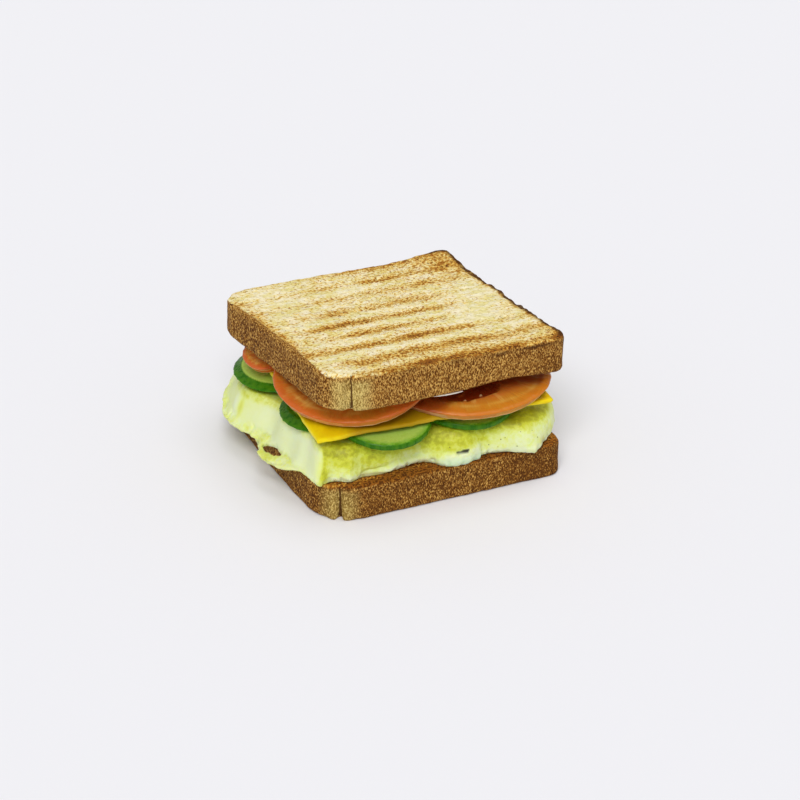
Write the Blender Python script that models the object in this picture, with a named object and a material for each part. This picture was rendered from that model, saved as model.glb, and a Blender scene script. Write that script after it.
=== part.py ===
"""Breakfast sandwich: two square slices of toast around a folded omelette, cucumber, a slice of
cheese and tomato. Metres, +Z up, the front towards -Y and the left towards -X.

The bottom toast stands on z = 0 with the omelette on it. The slices of filling are laid one after
another: each spreads over what lies below it, and is then lowered until it rests there. The top
toast leans on the pile, its front-left corner the highest.
"""

import math

import bpy
import numpy as np
from mathutils import Matrix, Vector
from mathutils.bvhtree import BVHTree

# Clearance between two pieces that touch, and what is left under the top toast above tomato that
# its weight presses flat
GAP = 0.0003
LID_CLEARANCE = 0.0014

# Toast
SLICE_WIDTH = 0.1086
SLICE_DEPTH = 0.1064
SLICE_THICKNESS = 0.0156
CORNER_FRONT_LEFT = 0.0175
CORNER_FRONT_RIGHT = 0.0050
CORNER_BACK_RIGHT = 0.0040
CORNER_BACK_LEFT = 0.0125
DOME_BULGE = 0.0016
SIDE_BULGE = 0.0003
CRUST_ROUNDING = 0.0013
CRACK_DEPTH = 0.0022
CRACK_HALF_WIDTH = 0.0013
BASE_CRACK_AT = 235.0
LID_CRACK_AT = 240.0
OUTLINE_SPACING = 0.0092
CORNER_POINTS = 4

# Where the top toast lies: the middle of its upper face, and its lean
LID_WIDTH = 0.1106
LID_SIDE_HOLLOW = 0.0010
LID_CENTRE = (-0.0016, -0.0006, 0.0626)
LID_ROLL = math.radians(-4.3)
LID_PITCH = math.radians(2.83)
LID_TURN = math.radians(3.8)
LID_HOLLOW_DEPTH = 0.0015
LID_HOLLOW_AT = (0.026, -0.053)
LID_HOLLOW_RADIUS = 0.026
LID_CURL_HEIGHT = 0.0020
LID_CURL_REACH = 0.0300

# Omelette
OMELETTE_CENTRE = (-0.002, 0.0)
OMELETTE_TOP = 0.0292
OMELETTE_LEAN_X = -0.020
OMELETTE_LEAN_Y = -0.030
RIPPLE = 0.0004
RIPPLE_LENGTHS = (0.030, 0.037)
PRESSED_DEPTH = 0.0020
PRESSED_HALF_WIDTH = 0.0420
PRESSED_HALF_DEPTH = 0.0380
PRESSED_SOFTNESS = 0.0140
FRONT_FACE_DEPTH = 0.0075
LEFT_FACE_FROM = -0.0500
LEFT_FACE_SOFTNESS = 0.0080
LEFT_FACE_DEPTH = 0.0100
CORNER_FACE_DEPTH = 0.0055
CORNER_FACE_BACK = -0.0420
FACE_SHARES = (1.0, 0.74, 0.50, 0.25, 0.0)
FLANGE_EXTRA_DEPTH = 0.0035
FLANGE_ENDS = (-0.0330, 0.0090)
FLANGE_SOFTNESS = 0.0100
FLANGE_SHARE = 0.55
HEM_THICKNESS = 0.0022
HEM_SHARE = 0.15
HEM_UNDER = ((0.0004, 0.55), (0.0012, 0.12), (0.0035, 0.0), (0.0078, 0.0), (0.0120, 0.0))
HEM_DROOP = 0.0026
HEM_DROOP_FROM = -0.0580
HEM_DROOP_LENGTH = 0.0060
HOLE_AT = (-0.0602, -0.0114)
HOLE_HALF_LENGTH = 0.0068
HOLE_HALF_WIDTH = 0.0018
HOLE_HALF_HEIGHT = 0.0060
HOLE_TURN = math.radians(10.0)

# Round slices
OVAL = 0.012
WOBBLE = 0.006
RIND_ROUNDING = 0.0006
CUCUMBER_THICKNESS = 0.0029
CUCUMBER_POINTS = 28
TOMATO_THICKNESS = 0.0050
TOMATO_SKIN_SLANT = 0.0026
TOMATO_POINTS = 32

# Cheese
CHEESE_WIDTH = 0.1040
CHEESE_DEPTH = 0.0970
CHEESE_THICKNESS = 0.0021
CHEESE_TURN = math.radians(-4.0)
CHEESE_CENTRE = (0.0010, -0.0009)
CHEESE_CORNERS_AT = 0.0340
CHEESE_CORNERS_RISE = 0.010
CHEESE_CORNERS_FROM = 0.0560
CHEESE_CORNER_SOFTNESS = 0.0100
CHEESE_SIDE_POINTS = 10

# The grid of the plan on which the pile's upper surface is known, and how soft slices settle
GRID_STEP = 0.0010
GRID = np.arange(-0.0750, 0.0755, GRID_STEP)
RAY_START = 0.2000
DRAPE_PAST_EDGE = 0.0030
DRAPE_WIDENING = 2
DRAPE_ROUNDS = 700
DRAPE_SAG = 0.000008
DRAPE_SMOOTHING = 3
DROOP_POWER = 1.6


def clear_scene():
    """Removes every object that the file opened with."""
    for found in list(bpy.data.objects):
        bpy.data.objects.remove(found)


def finish(name, colour, roughness):
    """A Principled material of one colour, for food that isn't metal."""
    material = bpy.data.materials.new(name)
    material.use_nodes = True
    shader = material.node_tree.nodes["Principled BSDF"]
    shader.inputs["Base Color"].default_value = (*colour, 1.0)
    shader.inputs["Roughness"].default_value = roughness
    shader.inputs["Metallic"].default_value = 0.0
    material.diffuse_color = (*colour, 1.0)
    return material


def smooth_step(value):
    """0 below 0, 1 above 1, and a soft rise between them."""
    t = np.clip(value, 0.0, 1.0)
    return t * t * (3.0 - 2.0 * t)


def inward(outline, centre, scale=1.0, inset=0.0):
    """The outline drawn in towards its centre, by a scale and then by a distance."""
    spokes = outline - centre
    reach = np.linalg.norm(spokes, axis=1, keepdims=True)
    return centre + spokes * (scale - inset / reach)


def ring_at(plan, heights):
    """A closed ring in space from its plan and the height of each point."""
    return np.column_stack([plan, heights])


def closed_body(name, rings, middle_top, middle_bottom, material):
    """One closed body from rings that run from the middle of its top, round its edge, to its
    underside. The rings are counterclockwise from above, with one count of points."""
    count = len(rings[0])
    points = [tuple(middle_top)]
    for ring in rings:
        points.extend(map(tuple, ring))
    points.append(tuple(middle_bottom))
    last = len(points) - 1
    faces = []
    for i in range(count):
        after = (i + 1) % count
        faces.append((0, 1 + i, 1 + after))
        for band in range(len(rings) - 1):
            upper = 1 + band * count
            lower = upper + count
            faces.append((upper + i, lower + i, lower + after, upper + after))
        base = 1 + (len(rings) - 1) * count
        faces.append((last, base + after, base + i))
    mesh = bpy.data.meshes.new(name)
    mesh.from_pydata(points, [], faces)
    mesh.materials.append(material)
    mesh.shade_smooth()
    mesh.set_sharp_from_angle(angle=math.radians(40))
    body = bpy.data.objects.new(name, mesh)
    bpy.context.scene.collection.objects.link(body)
    return body


def arc(centre, radius, degrees):
    """Points of a circle at the given angles, in degrees. The radius may differ by point."""
    angles = np.radians(degrees)
    directions = np.column_stack([np.cos(angles), np.sin(angles)])
    return np.asarray(centre) + np.reshape(radius, (-1, 1)) * directions


def straight(start, end, spacing):
    """Points strictly between two ends, evenly spaced."""
    count = max(2, round(float(np.linalg.norm(end - start)) / spacing))
    shares = np.arange(1, count)[:, None] / count
    return start + (end - start) * shares


def cracked_corner(centre, crack_at):
    """The front-left corner's arc, with the crack in the crust cut into it."""
    half_angle = math.degrees(CRACK_HALF_WIDTH / CORNER_FRONT_LEFT)
    past_crack = crack_at + 1.6 * half_angle
    degrees = [180.0, 193.0, 206.0, 219.0]
    degrees += [crack_at + step * half_angle for step in (-1.6, -0.8, 0.0, 0.8, 1.6)]
    degrees += [0.5 * (past_crack + 270.0), 270.0]
    off_crack = (np.array(degrees) - crack_at) / half_angle
    radius = CORNER_FRONT_LEFT - CRACK_DEPTH * np.exp(-(off_crack**2))
    return arc(centre, radius, degrees)


def slice_outline(width, crack_at, bulge):
    """Plan of a slice of bread, counterclockwise from its front-right corner. The loaf's domed
    top is the left side, which may bulge or be hollow, and a crack in the crust cuts into the
    front-left corner."""
    half_x, half_y = width / 2, SLICE_DEPTH / 2
    corners = [
        (half_x, -half_y, CORNER_FRONT_RIGHT, -90.0),
        (half_x, half_y, CORNER_BACK_RIGHT, 0.0),
        (-half_x, half_y, CORNER_BACK_LEFT, 90.0),
    ]
    arcs = []
    for x, y, radius, start in corners:
        centre = (x - math.copysign(radius, x), y - math.copysign(radius, y))
        arcs.append(arc(centre, radius, start + np.linspace(0.0, 90.0, CORNER_POINTS)))
    inner = (-half_x + CORNER_FRONT_LEFT, -half_y + CORNER_FRONT_LEFT)
    arcs.append(cracked_corner(inner, crack_at))
    runs = [straight(arcs[i][-1], arcs[(i + 1) % 4][0], OUTLINE_SPACING) for i in range(4)]
    outline = np.vstack([part for i in range(4) for part in (arcs[i], runs[i])])
    x, y = outline[:, 0], outline[:, 1]
    bow_x = np.where(x < 0, -bulge, SIDE_BULGE) * (1.0 - (y / half_y) ** 2)
    bow_y = np.sign(y) * SIDE_BULGE * (1.0 - (x / half_x) ** 2)
    return np.column_stack([x + bow_x * np.abs(x) / half_x, y + bow_y * np.abs(y) / half_y])


def toast_slice(name, material, width, crack_at, bulge, hollow_depth=0.0, curl_height=0.0):
    """A slice lying flat, its upper face on z = 0. Its underside may be hollowed a little at the
    front, and its back-right corner may curl up."""
    outline = slice_outline(width, crack_at, bulge)
    centre = np.zeros(2)
    curl_at = np.array([width / 2, SLICE_DEPTH / 2])

    def upper(plan):
        far = np.linalg.norm(plan - curl_at, axis=1) / LID_CURL_REACH
        return curl_height * smooth_step(1.0 - far)

    def lower(plan):
        far = np.linalg.norm(plan - np.array(LID_HOLLOW_AT), axis=1) / LID_HOLLOW_RADIUS
        return upper(plan) + hollow_depth * smooth_step(1.0 - far) - SLICE_THICKNESS

    rounding = [(CRUST_ROUNDING, 0.0), (0.3 * CRUST_ROUNDING, 0.3 * CRUST_ROUNDING),
                (0.0, CRUST_ROUNDING)]
    rings = []
    for scale in (0.45, 0.80):
        plan = inward(outline, centre, scale)
        rings.append(ring_at(plan, upper(plan)))
    for inset, depth in rounding:
        plan = inward(outline, centre, 1.0, inset)
        rings.append(ring_at(plan, upper(plan) - depth))
    for inset, depth in reversed(rounding):
        plan = inward(outline, centre, 1.0, inset)
        rings.append(ring_at(plan, lower(plan) + depth))
    for scale in (0.80, 0.45):
        plan = inward(outline, centre, scale)
        rings.append(ring_at(plan, lower(plan)))
    return closed_body(name, rings, (0, 0, 0), (0, 0, -SLICE_THICKNESS), material)


def lid_matrix():
    """Where the top toast lies, from the middle of its upper face."""
    lean = Matrix.Rotation(LID_ROLL, 4, "X") @ Matrix.Rotation(LID_PITCH, 4, "Y")
    return Matrix.Translation(LID_CENTRE) @ lean @ Matrix.Rotation(LID_TURN, 4, "Z")


def lid_underside(plan):
    """Height of the plane of the top toast's underside."""
    matrix = lid_matrix()
    normal = np.array(matrix.col[2][:3])
    below = np.array(matrix @ Vector((0.0, 0.0, -SLICE_THICKNESS)))
    return below[2] - (plan - below[:2]) @ normal[:2] / normal[2]


def smooth_closed_curve(corners, steps):
    """A closed Catmull-Rom curve through a list of plan points, with steps points a stretch."""
    corners = np.asarray(corners, float)
    curve = []
    for i in range(len(corners)):
        a, b, c, d = (corners[(i + k) % len(corners)] for k in (-1, 0, 1, 2))
        for step in range(steps):
            t = step / steps
            cubic = 3 * b - a - 3 * c + d
            square = 2 * a - 5 * b + 4 * c - d
            curve.append(0.5 * (2 * b + (c - a) * t + square * t**2 + cubic * t**3))
    return np.array(curve)


def omelette_hem():
    """Plan of the omelette's torn lower edge, counterclockwise from the front-left corner."""
    hem = [
        (-0.0550, -0.0470), (-0.0480, -0.0465), (-0.0420, -0.0505), (-0.0345, -0.0480),
        (-0.0230, -0.0490), (-0.0130, -0.0462), (-0.0065, -0.0468), (0.0030, -0.0525),
        (0.0100, -0.0535), (0.0170, -0.0512), (0.0285, -0.0535), (0.0365, -0.0565),
        (0.0425, -0.0545), (0.0500, -0.0500), (0.0560, -0.0430), (0.0585, -0.0330),
        (0.0570, -0.0200), (0.0560, 0.0000), (0.0570, 0.0200), (0.0560, 0.0380),
        (0.0520, 0.0490), (0.0400, 0.0530), (0.0200, 0.0540), (0.0000, 0.0530),
        (-0.0200, 0.0545), (-0.0400, 0.0555), (-0.0530, 0.0520), (-0.0610, 0.0420),
        (-0.0665, 0.0310), (-0.0672, 0.0200), (-0.0640, 0.0110), (-0.0632, 0.0030),
        (-0.0655, -0.0060), (-0.0668, -0.0130), (-0.0640, -0.0220), (-0.0605, -0.0300),
        (-0.0572, -0.0350), (-0.0565, -0.0420),
    ]
    return smooth_closed_curve(hem, 2)


def omelette_level(plan):
    """Height of the omelette's broad top. It leans down to the back and the right, and is pressed
    in under the filling."""
    x, y = plan[:, 0], plan[:, 1]
    lean = OMELETTE_LEAN_X * x + OMELETTE_LEAN_Y * y
    across, along = RIPPLE_LENGTHS
    ripple = RIPPLE * np.sin(math.tau * x / across + 1.3) * np.cos(math.tau * y / along - 0.4)
    inside_x = smooth_step((PRESSED_HALF_WIDTH - np.abs(x)) / PRESSED_SOFTNESS)
    inside_y = smooth_step((PRESSED_HALF_DEPTH - np.abs(y)) / PRESSED_SOFTNESS)
    return OMELETTE_TOP + lean + ripple - PRESSED_DEPTH * inside_x * inside_y


def omelette_underside(plan):
    """Height of the omelette's underside: level on the toast, hanging down past its left edge."""
    past = (HEM_DROOP_FROM - plan[:, 0]) / HEM_DROOP_LENGTH
    return SLICE_THICKNESS + GAP - HEM_DROOP * smooth_step(past)


def omelette_sides(outline):
    """How the omelette's sides fall, by point of its hem: how far they count as the left one, how
    deep they are in plan, and the share of that depth that the thin flange at their foot takes."""
    x, y = outline[:, 0], outline[:, 1]
    leftness = smooth_step((LEFT_FACE_FROM - x) / LEFT_FACE_SOFTNESS)
    front, back = FLANGE_ENDS
    flange = smooth_step((y - front) / FLANGE_SOFTNESS) * smooth_step((back - y) / FLANGE_SOFTNESS)
    past_corner = smooth_step((y - CORNER_FACE_BACK) / FLANGE_SOFTNESS)
    left_depth = CORNER_FACE_DEPTH + (LEFT_FACE_DEPTH - CORNER_FACE_DEPTH) * past_corner
    left_depth = left_depth + FLANGE_EXTRA_DEPTH * flange
    depth = FRONT_FACE_DEPTH + (left_depth - FRONT_FACE_DEPTH) * leftness
    share = HEM_SHARE + (FLANGE_SHARE - HEM_SHARE) * flange * leftness
    return leftness, depth, share


def omelette_body(material):
    """The folded omelette: a broad pillow with steep sides, and on the left a thin torn flange
    that hangs past the toast and has a hole in it."""
    outline = omelette_hem()
    centre = np.array(OMELETTE_CENTRE)
    leftness, face_depth, flange_share = omelette_sides(outline)
    rings = []
    for scale in (0.35, 0.62):
        plan = inward(outline, centre, scale)
        rings.append(ring_at(plan, omelette_level(plan)))
    in_shares = [flange_share + (1.0 - flange_share) * share for share in FACE_SHARES]
    in_shares += [0.55 * flange_share, 0.0 * flange_share]
    for share in in_shares:
        plan = inward(outline, centre, 1.0, (share * face_depth)[:, None])
        pillow = (1.0 - (1.0 - share) ** 2) ** 0.5
        slope = smooth_step((share - flange_share) / (1.0 - flange_share))
        rise = pillow + (slope - pillow) * leftness
        low = omelette_underside(plan) + HEM_THICKNESS
        rings.append(ring_at(plan, low + (omelette_level(plan) - low) * rise))
    for inset, share in HEM_UNDER:
        plan = inward(outline, centre, 1.0, inset)
        rings.append(ring_at(plan, omelette_underside(plan) + share * HEM_THICKNESS))
    plan = inward(outline, centre, 0.45)
    rings.append(ring_at(plan, omelette_underside(plan)))
    middle = centre[None, :]
    top, bottom = omelette_level(middle)[0], omelette_underside(middle)[0]
    body = closed_body("omelette", rings, (*centre, top), (*centre, bottom), material)
    cut_hole(body)
    return body


def cut_hole(body):
    """Cuts the long thin hole through the omelette's left flange."""
    bpy.ops.mesh.primitive_cylinder_add(vertices=14, radius=1.0, depth=2.0)
    cutter = bpy.context.object
    cutter.name = "hem_hole_cutter"
    cutter.scale = (HOLE_HALF_WIDTH, HOLE_HALF_LENGTH, HOLE_HALF_HEIGHT)
    cutter.rotation_euler = (0.0, 0.0, HOLE_TURN)
    cutter.location = (*HOLE_AT, SLICE_THICKNESS)
    cutter.hide_render = True
    cutter.display_type = "WIRE"
    cut = body.modifiers.new("hem_hole", "BOOLEAN")
    cut.operation = "DIFFERENCE"
    cut.object = cutter


def height_map(body, from_above):
    """Heights of a body's upper or lower surface over the grid of the plan, with gaps as nan."""
    tree = BVHTree.FromObject(body, bpy.context.evaluated_depsgraph_get())
    to_body = body.matrix_world.inverted()
    start_z = RAY_START if from_above else -RAY_START
    direction = to_body.to_3x3() @ Vector((0.0, 0.0, -start_z)).normalized()
    heights = np.full((len(GRID), len(GRID)), np.nan)
    for i, x in enumerate(GRID):
        for j, y in enumerate(GRID):
            hit = tree.ray_cast(to_body @ Vector((x, y, start_z)), direction)[0]
            if hit is not None:
                heights[i, j] = (body.matrix_world @ hit).z
    return heights


def sampled(field, plan):
    """A field over the grid of the plan, read between its points."""
    place = (plan - GRID[0]) / GRID_STEP
    low = np.clip(np.floor(place).astype(int), 0, len(GRID) - 2)
    u, v = (place - low).T
    i, j = low.T
    near = field[i, j] * (1 - v) + field[i, j + 1] * v
    far = field[i + 1, j] * (1 - v) + field[i + 1, j + 1] * v
    return near * (1 - u) + far * u


def neighbours(field):
    """The values on the four sides of each point of a field, nan past its edge."""
    wide = np.pad(field, 1, constant_values=np.nan)
    return np.array([wide[2:, 1:-1], wide[:-2, 1:-1], wide[1:-1, 2:], wide[1:-1, :-2]])


def neighbour_mean(field):
    """The mean of the known values on the four sides of each point of a field."""
    around = neighbours(field)
    known = ~np.isnan(around)
    return np.where(known, around, 0.0).sum(axis=0) / np.maximum(known.sum(axis=0), 1)


class Pile:
    """The upper surface of everything laid so far, over the grid of the plan."""

    def __init__(self):
        self.heights = np.full((len(GRID), len(GRID)), np.nan)
        self.bodies = []

    def add(self, body):
        """Adds a body where it is."""
        bpy.context.view_layer.update()
        self.heights = np.fmax(self.heights, height_map(body, from_above=True))
        self.bodies.append(body)

    def lay(self, body):
        """Moves a body up or down until it rests on the pile, and adds it."""
        bpy.context.view_layer.update()
        clearance = np.nanmin(height_map(body, from_above=False) - self.heights)
        body.location.z += GAP - float(clearance)
        self.add(body)

    def spread(self, centre, radius):
        """Height field of a soft slice with this centre and reach, spread over the pile: it lies
        on the high places, and sags a little across the low ones."""
        grid_x, grid_y = np.meshgrid(GRID, GRID, indexing="ij")
        far = np.hypot(grid_x - centre[0], grid_y - centre[1])
        within = far < radius + DRAPE_PAST_EDGE
        support = np.where(np.isnan(self.heights), 0.0, self.heights)
        for _ in range(DRAPE_WIDENING):
            support = np.fmax(support, np.nanmax(neighbours(support), axis=0))
        surface = np.where(within, support.max(), np.nan)
        for _ in range(DRAPE_ROUNDS):
            sagged = np.maximum(support, neighbour_mean(surface) - DRAPE_SAG)
            surface = np.where(within, sagged, np.nan)
        for _ in range(DRAPE_SMOOTHING):
            surface = 0.5 * (surface + neighbour_mean(surface))
        return np.where(within, surface, np.nanmin(surface))


def drooped(plan, centre, radius, droop):
    """How far a slice hangs past a line across it, given as (angle, distance, depth)."""
    if droop is None:
        return np.zeros(len(plan))
    angle, start, depth = droop
    towards = np.array([math.cos(angle), math.sin(angle)])
    past = np.clip((plan - centre) @ towards - start, 0.0, None) / (radius - start)
    return depth * past**DROOP_POWER


def thin_slice(name, material, outline, centre, steps, top, under):
    """A thin slice between two height functions. Each step from the middle of its top to that of
    its underside is a scale and an inset of the outline, and a height: above the underside if
    positive, or else from the top."""
    rings = []
    for scale, inset, height in steps:
        plan = inward(outline, centre, scale, inset)
        rings.append(ring_at(plan, height + (under(plan) if height > 0 else top(plan))))
    middle_top = (*centre, top(centre[None, :])[0])
    middle_under = (*centre, under(centre[None, :])[0])
    return closed_body(name, rings, middle_top, middle_under, material)


def round_slice(name, material, pile, centre, radius, thickness, points, turn=0.0, slant=0.0,
                upper_slant=0.0, droop=None):
    """A round slice of a vegetable spread over the pile. It is a little oval, its skin slants in
    below or above where it was cut askew, and it may hang down past a line across it."""
    centre = np.asarray(centre, float)
    field = pile.spread(centre, radius * (1.0 + OVAL))
    angles = np.linspace(0.0, math.tau, points, endpoint=False)
    reach = radius * (1.0 + OVAL * np.cos(2.0 * (angles - turn)))
    reach = reach * (1.0 + WOBBLE * np.sin(3.0 * angles + 4.0 * turn))
    outline = centre + reach[:, None] * np.column_stack([np.cos(angles), np.sin(angles)])

    def under(plan):
        return sampled(field, plan) - drooped(plan, centre, radius, droop)

    def top(plan):
        return np.minimum(under(plan) + thickness, lid_underside(plan) - LID_CLEARANCE)

    flat = 0.5 * GAP
    steps = [(0.40, 0.0, 0.0), (0.74, 0.0, 0.0), (1.0, upper_slant + RIND_ROUNDING, 0.0),
             (1.0, upper_slant, -RIND_ROUNDING), (1.0, slant, RIND_ROUNDING),
             (1.0, slant + RIND_ROUNDING, flat), (0.70, 0.0, flat), (0.35, 0.0, flat)]
    pile.lay(thin_slice(name, material, outline, centre, steps, top, under))


def square_outline():
    """Plan of the slice of cheese: a turned square, counterclockwise."""
    half_x, half_y = CHEESE_WIDTH / 2, CHEESE_DEPTH / 2
    corners = np.array([(-half_x, -half_y), (half_x, -half_y), (half_x, half_y), (-half_x, half_y)])
    cosine, sine = math.cos(CHEESE_TURN), math.sin(CHEESE_TURN)
    corners = corners @ np.array([[cosine, sine], [-sine, cosine]]) + CHEESE_CENTRE
    shares = np.linspace(0.0, 1.0, CHEESE_SIDE_POINTS, endpoint=False)[:, None]
    sides = [corners[i] + (corners[(i + 1) % 4] - corners[i]) * shares for i in range(4)]
    return np.vstack(sides)


def lay_cheese(pile, material):
    """The square slice of cheese, spread over the cucumber. It is stiff, so its corners hardly
    hang."""
    centre = np.array(CHEESE_CENTRE)
    field = pile.spread(centre, 0.75 * CHEESE_WIDTH)

    def under(plan):
        out = np.linalg.norm(plan - centre, axis=1) - CHEESE_CORNERS_FROM
        stiffness = smooth_step(out / CHEESE_CORNER_SOFTNESS)
        level = sampled(field, plan)
        held_at = CHEESE_CORNERS_AT + CHEESE_CORNERS_RISE * plan[:, 0]
        return level + stiffness * np.maximum(held_at - level, 0.0)

    def top(plan):
        return under(plan) + CHEESE_THICKNESS

    rounding = 0.2 * CHEESE_THICKNESS
    flat = 0.5 * GAP
    scales = (0.30, 0.58, 0.84)
    steps = [(scale, 0.0, 0.0) for scale in scales]
    steps += [(1.0, rounding, 0.0), (1.0, 0.0, -rounding)]
    steps += [(1.0, 0.0, rounding), (1.0, rounding, flat)]
    steps += [(scale, 0.0, flat) for scale in reversed(scales)]
    outline = square_outline()
    pile.lay(thin_slice("cheese_slice", material, outline, centre, steps, top, under))


def lay_cucumbers(pile, material):
    """The cucumber slices that lie on the omelette, the lowest first, with how askew each was
    cut: the two at the left show a broad band of rind."""
    slices = [
        ("cucumber_right_front", (0.0180, -0.0330), 0.0208, 0.0),
        ("cucumber_left_front", (-0.0340, -0.0135), 0.0228, 0.0030),
        ("cucumber_back_right", (0.0330, 0.0350), 0.0186, 0.0),
        ("cucumber_right", (0.0335, 0.0010), 0.0190, 0.0),
        ("cucumber_front", (-0.0200, -0.0345), 0.0206, 0.0),
        ("cucumber_left_back", (-0.0385, 0.0258), 0.0226, 0.0030),
        ("cucumber_back", (-0.0015, 0.0360), 0.0180, 0.0),
    ]
    for index, (name, centre, radius, askew) in enumerate(slices):
        round_slice(name, material, pile, centre, radius, CUCUMBER_THICKNESS, CUCUMBER_POINTS,
                    turn=1.1 * index, upper_slant=askew)


def lay_tomatoes(pile, material):
    """The tomato slices under the top toast, the lowest first, with how each hangs at its rim."""
    slices = [
        ("tomato_back_right", (0.0310, 0.0370), 0.0210, None),
        ("tomato_right", (0.0203, -0.0229), 0.0372, (math.radians(-94.0), 0.012, 0.0024)),
        ("tomato_left_back", (-0.0442, 0.0214), 0.0150, (math.radians(200.0), 0.004, 0.0020)),
        ("tomato_left_front", (-0.0243, -0.0174), 0.0350, (math.radians(235.0), 0.012, 0.0034)),
    ]
    for index, (name, centre, radius, droop) in enumerate(slices):
        round_slice(name, material, pile, centre, radius, TOMATO_THICKNESS, TOMATO_POINTS,
                    turn=0.9 * index, slant=TOMATO_SKIN_SLANT, droop=droop)


def centre_on_origin(bodies):
    """Moves everything so that the middle of its box, seen from above, is at x = y = 0."""
    bpy.context.view_layer.update()
    graph = bpy.context.evaluated_depsgraph_get()
    corners = []
    for body in bodies:
        shape = body.evaluated_get(graph)
        corners += [shape.matrix_world @ vertex.co for vertex in shape.data.vertices]
    plan = np.array(corners)[:, :2]
    middle = 0.5 * (plan.min(axis=0) + plan.max(axis=0))
    for body in bpy.context.scene.objects:
        body.location -= Vector((*middle, 0.0))


def build():
    """Builds the sandwich from the bottom up."""
    clear_scene()
    toast = finish("toast", (0.32, 0.17, 0.06), 0.85)
    egg = finish("omelette", (0.66, 0.70, 0.25), 0.45)
    cucumber = finish("cucumber", (0.12, 0.30, 0.06), 0.35)
    cheese = finish("cheese", (0.75, 0.45, 0.02), 0.40)
    tomato = finish("tomato", (0.55, 0.12, 0.03), 0.30)
    pile = Pile()

    base = toast_slice("toast_bottom", toast, SLICE_WIDTH, BASE_CRACK_AT, DOME_BULGE)
    base.location.z = SLICE_THICKNESS
    pile.add(base)
    pile.add(omelette_body(egg))
    lay_cucumbers(pile, cucumber)
    lay_cheese(pile, cheese)
    lay_tomatoes(pile, tomato)

    lid = toast_slice("toast_top", toast, LID_WIDTH, LID_CRACK_AT, -LID_SIDE_HOLLOW,
                      LID_HOLLOW_DEPTH, LID_CURL_HEIGHT)
    lid.matrix_world = lid_matrix()
    pile.add(lid)
    centre_on_origin(pile.bodies)


build()
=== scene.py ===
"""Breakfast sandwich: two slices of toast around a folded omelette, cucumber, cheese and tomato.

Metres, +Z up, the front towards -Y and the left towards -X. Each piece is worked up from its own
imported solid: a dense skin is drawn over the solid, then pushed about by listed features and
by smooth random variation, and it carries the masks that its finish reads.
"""

import logging
import math
from dataclasses import dataclass
from enum import Enum
from functools import reduce

import bmesh
import bpy
import numpy as np
from mathutils import Euler, Matrix, Vector
from mathutils.bvhtree import BVHTree


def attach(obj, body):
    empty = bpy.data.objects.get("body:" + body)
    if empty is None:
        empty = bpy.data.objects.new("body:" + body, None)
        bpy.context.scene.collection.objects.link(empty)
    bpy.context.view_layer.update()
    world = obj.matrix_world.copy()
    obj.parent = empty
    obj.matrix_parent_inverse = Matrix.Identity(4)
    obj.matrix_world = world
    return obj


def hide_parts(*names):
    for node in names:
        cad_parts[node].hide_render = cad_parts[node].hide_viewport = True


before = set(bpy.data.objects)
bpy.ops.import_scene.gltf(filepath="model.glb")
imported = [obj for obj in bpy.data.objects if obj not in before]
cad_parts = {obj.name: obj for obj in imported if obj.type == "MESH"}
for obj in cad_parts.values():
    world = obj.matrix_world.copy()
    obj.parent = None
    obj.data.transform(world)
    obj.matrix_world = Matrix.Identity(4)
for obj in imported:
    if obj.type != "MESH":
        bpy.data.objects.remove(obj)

LOG = logging.getLogger("breakfast_sandwich")
MM = 0.001
MARK = (0.0, -0.00179, 0.0)  # where the listed features are measured from
ORIGIN = (0.0, 0.0, 0.0)
EVEN = (1.0, 1.0, 1.0)
Array = np.ndarray
Triple = tuple[float, float, float]
Colour = tuple[float, float, float, float]


# Small mathematics

def soft(values: Array, low: float, high: float) -> Array:
    """Rises smoothly from 0 at low to 1 at high, or falls if high is the smaller.

    Args:
        values: Where the rise is read.
        low: The value at which the result is 0.
        high: The value at which the result is 1.

    Returns:
        Shares from 0 to 1.
    """
    share = np.clip((values - low) / (high - low), 0.0, 1.0)
    return share * share * (3.0 - 2.0 * share)


def hump(values: Array, middle: float | Array, half_width: float) -> Array:
    """A bell of height 1 round a middle value."""
    return np.exp(-(((values - middle) / half_width) ** 2))


def marked(points: Array) -> Array:
    """Where points are from the mark, in millimetres, one row for each coordinate."""
    return ((points - np.array(MARK)) / MM).T


def flat(u: Array, v: Array) -> Array:
    """Points in a plane, from their two coordinates."""
    return np.column_stack([u, v, 0.0 * u])


def along_and_across(u: Array, v: Array, angle: float) -> tuple[Array, Array]:
    """How far points are along a direction, and how far to the left of it."""
    c, s = math.cos(angle), math.sin(angle)
    return u * c + v * s, v * c - u * s


def tint(red: int, green: int, blue: int) -> Colour:
    """Turns a display colour into the linear colour that a shader takes.

    Args:
        red: Its red, from 0 to 255.
        green: Its green.
        blue: Its blue.

    Returns:
        The colour, opaque.
    """
    shares = (channel / 255.0 for channel in (red, green, blue))
    linear = (s / 12.92 if s <= 0.04045 else ((s + 0.055) / 1.055) ** 2.4 for s in shares)
    return (*linear, 1.0)


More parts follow.
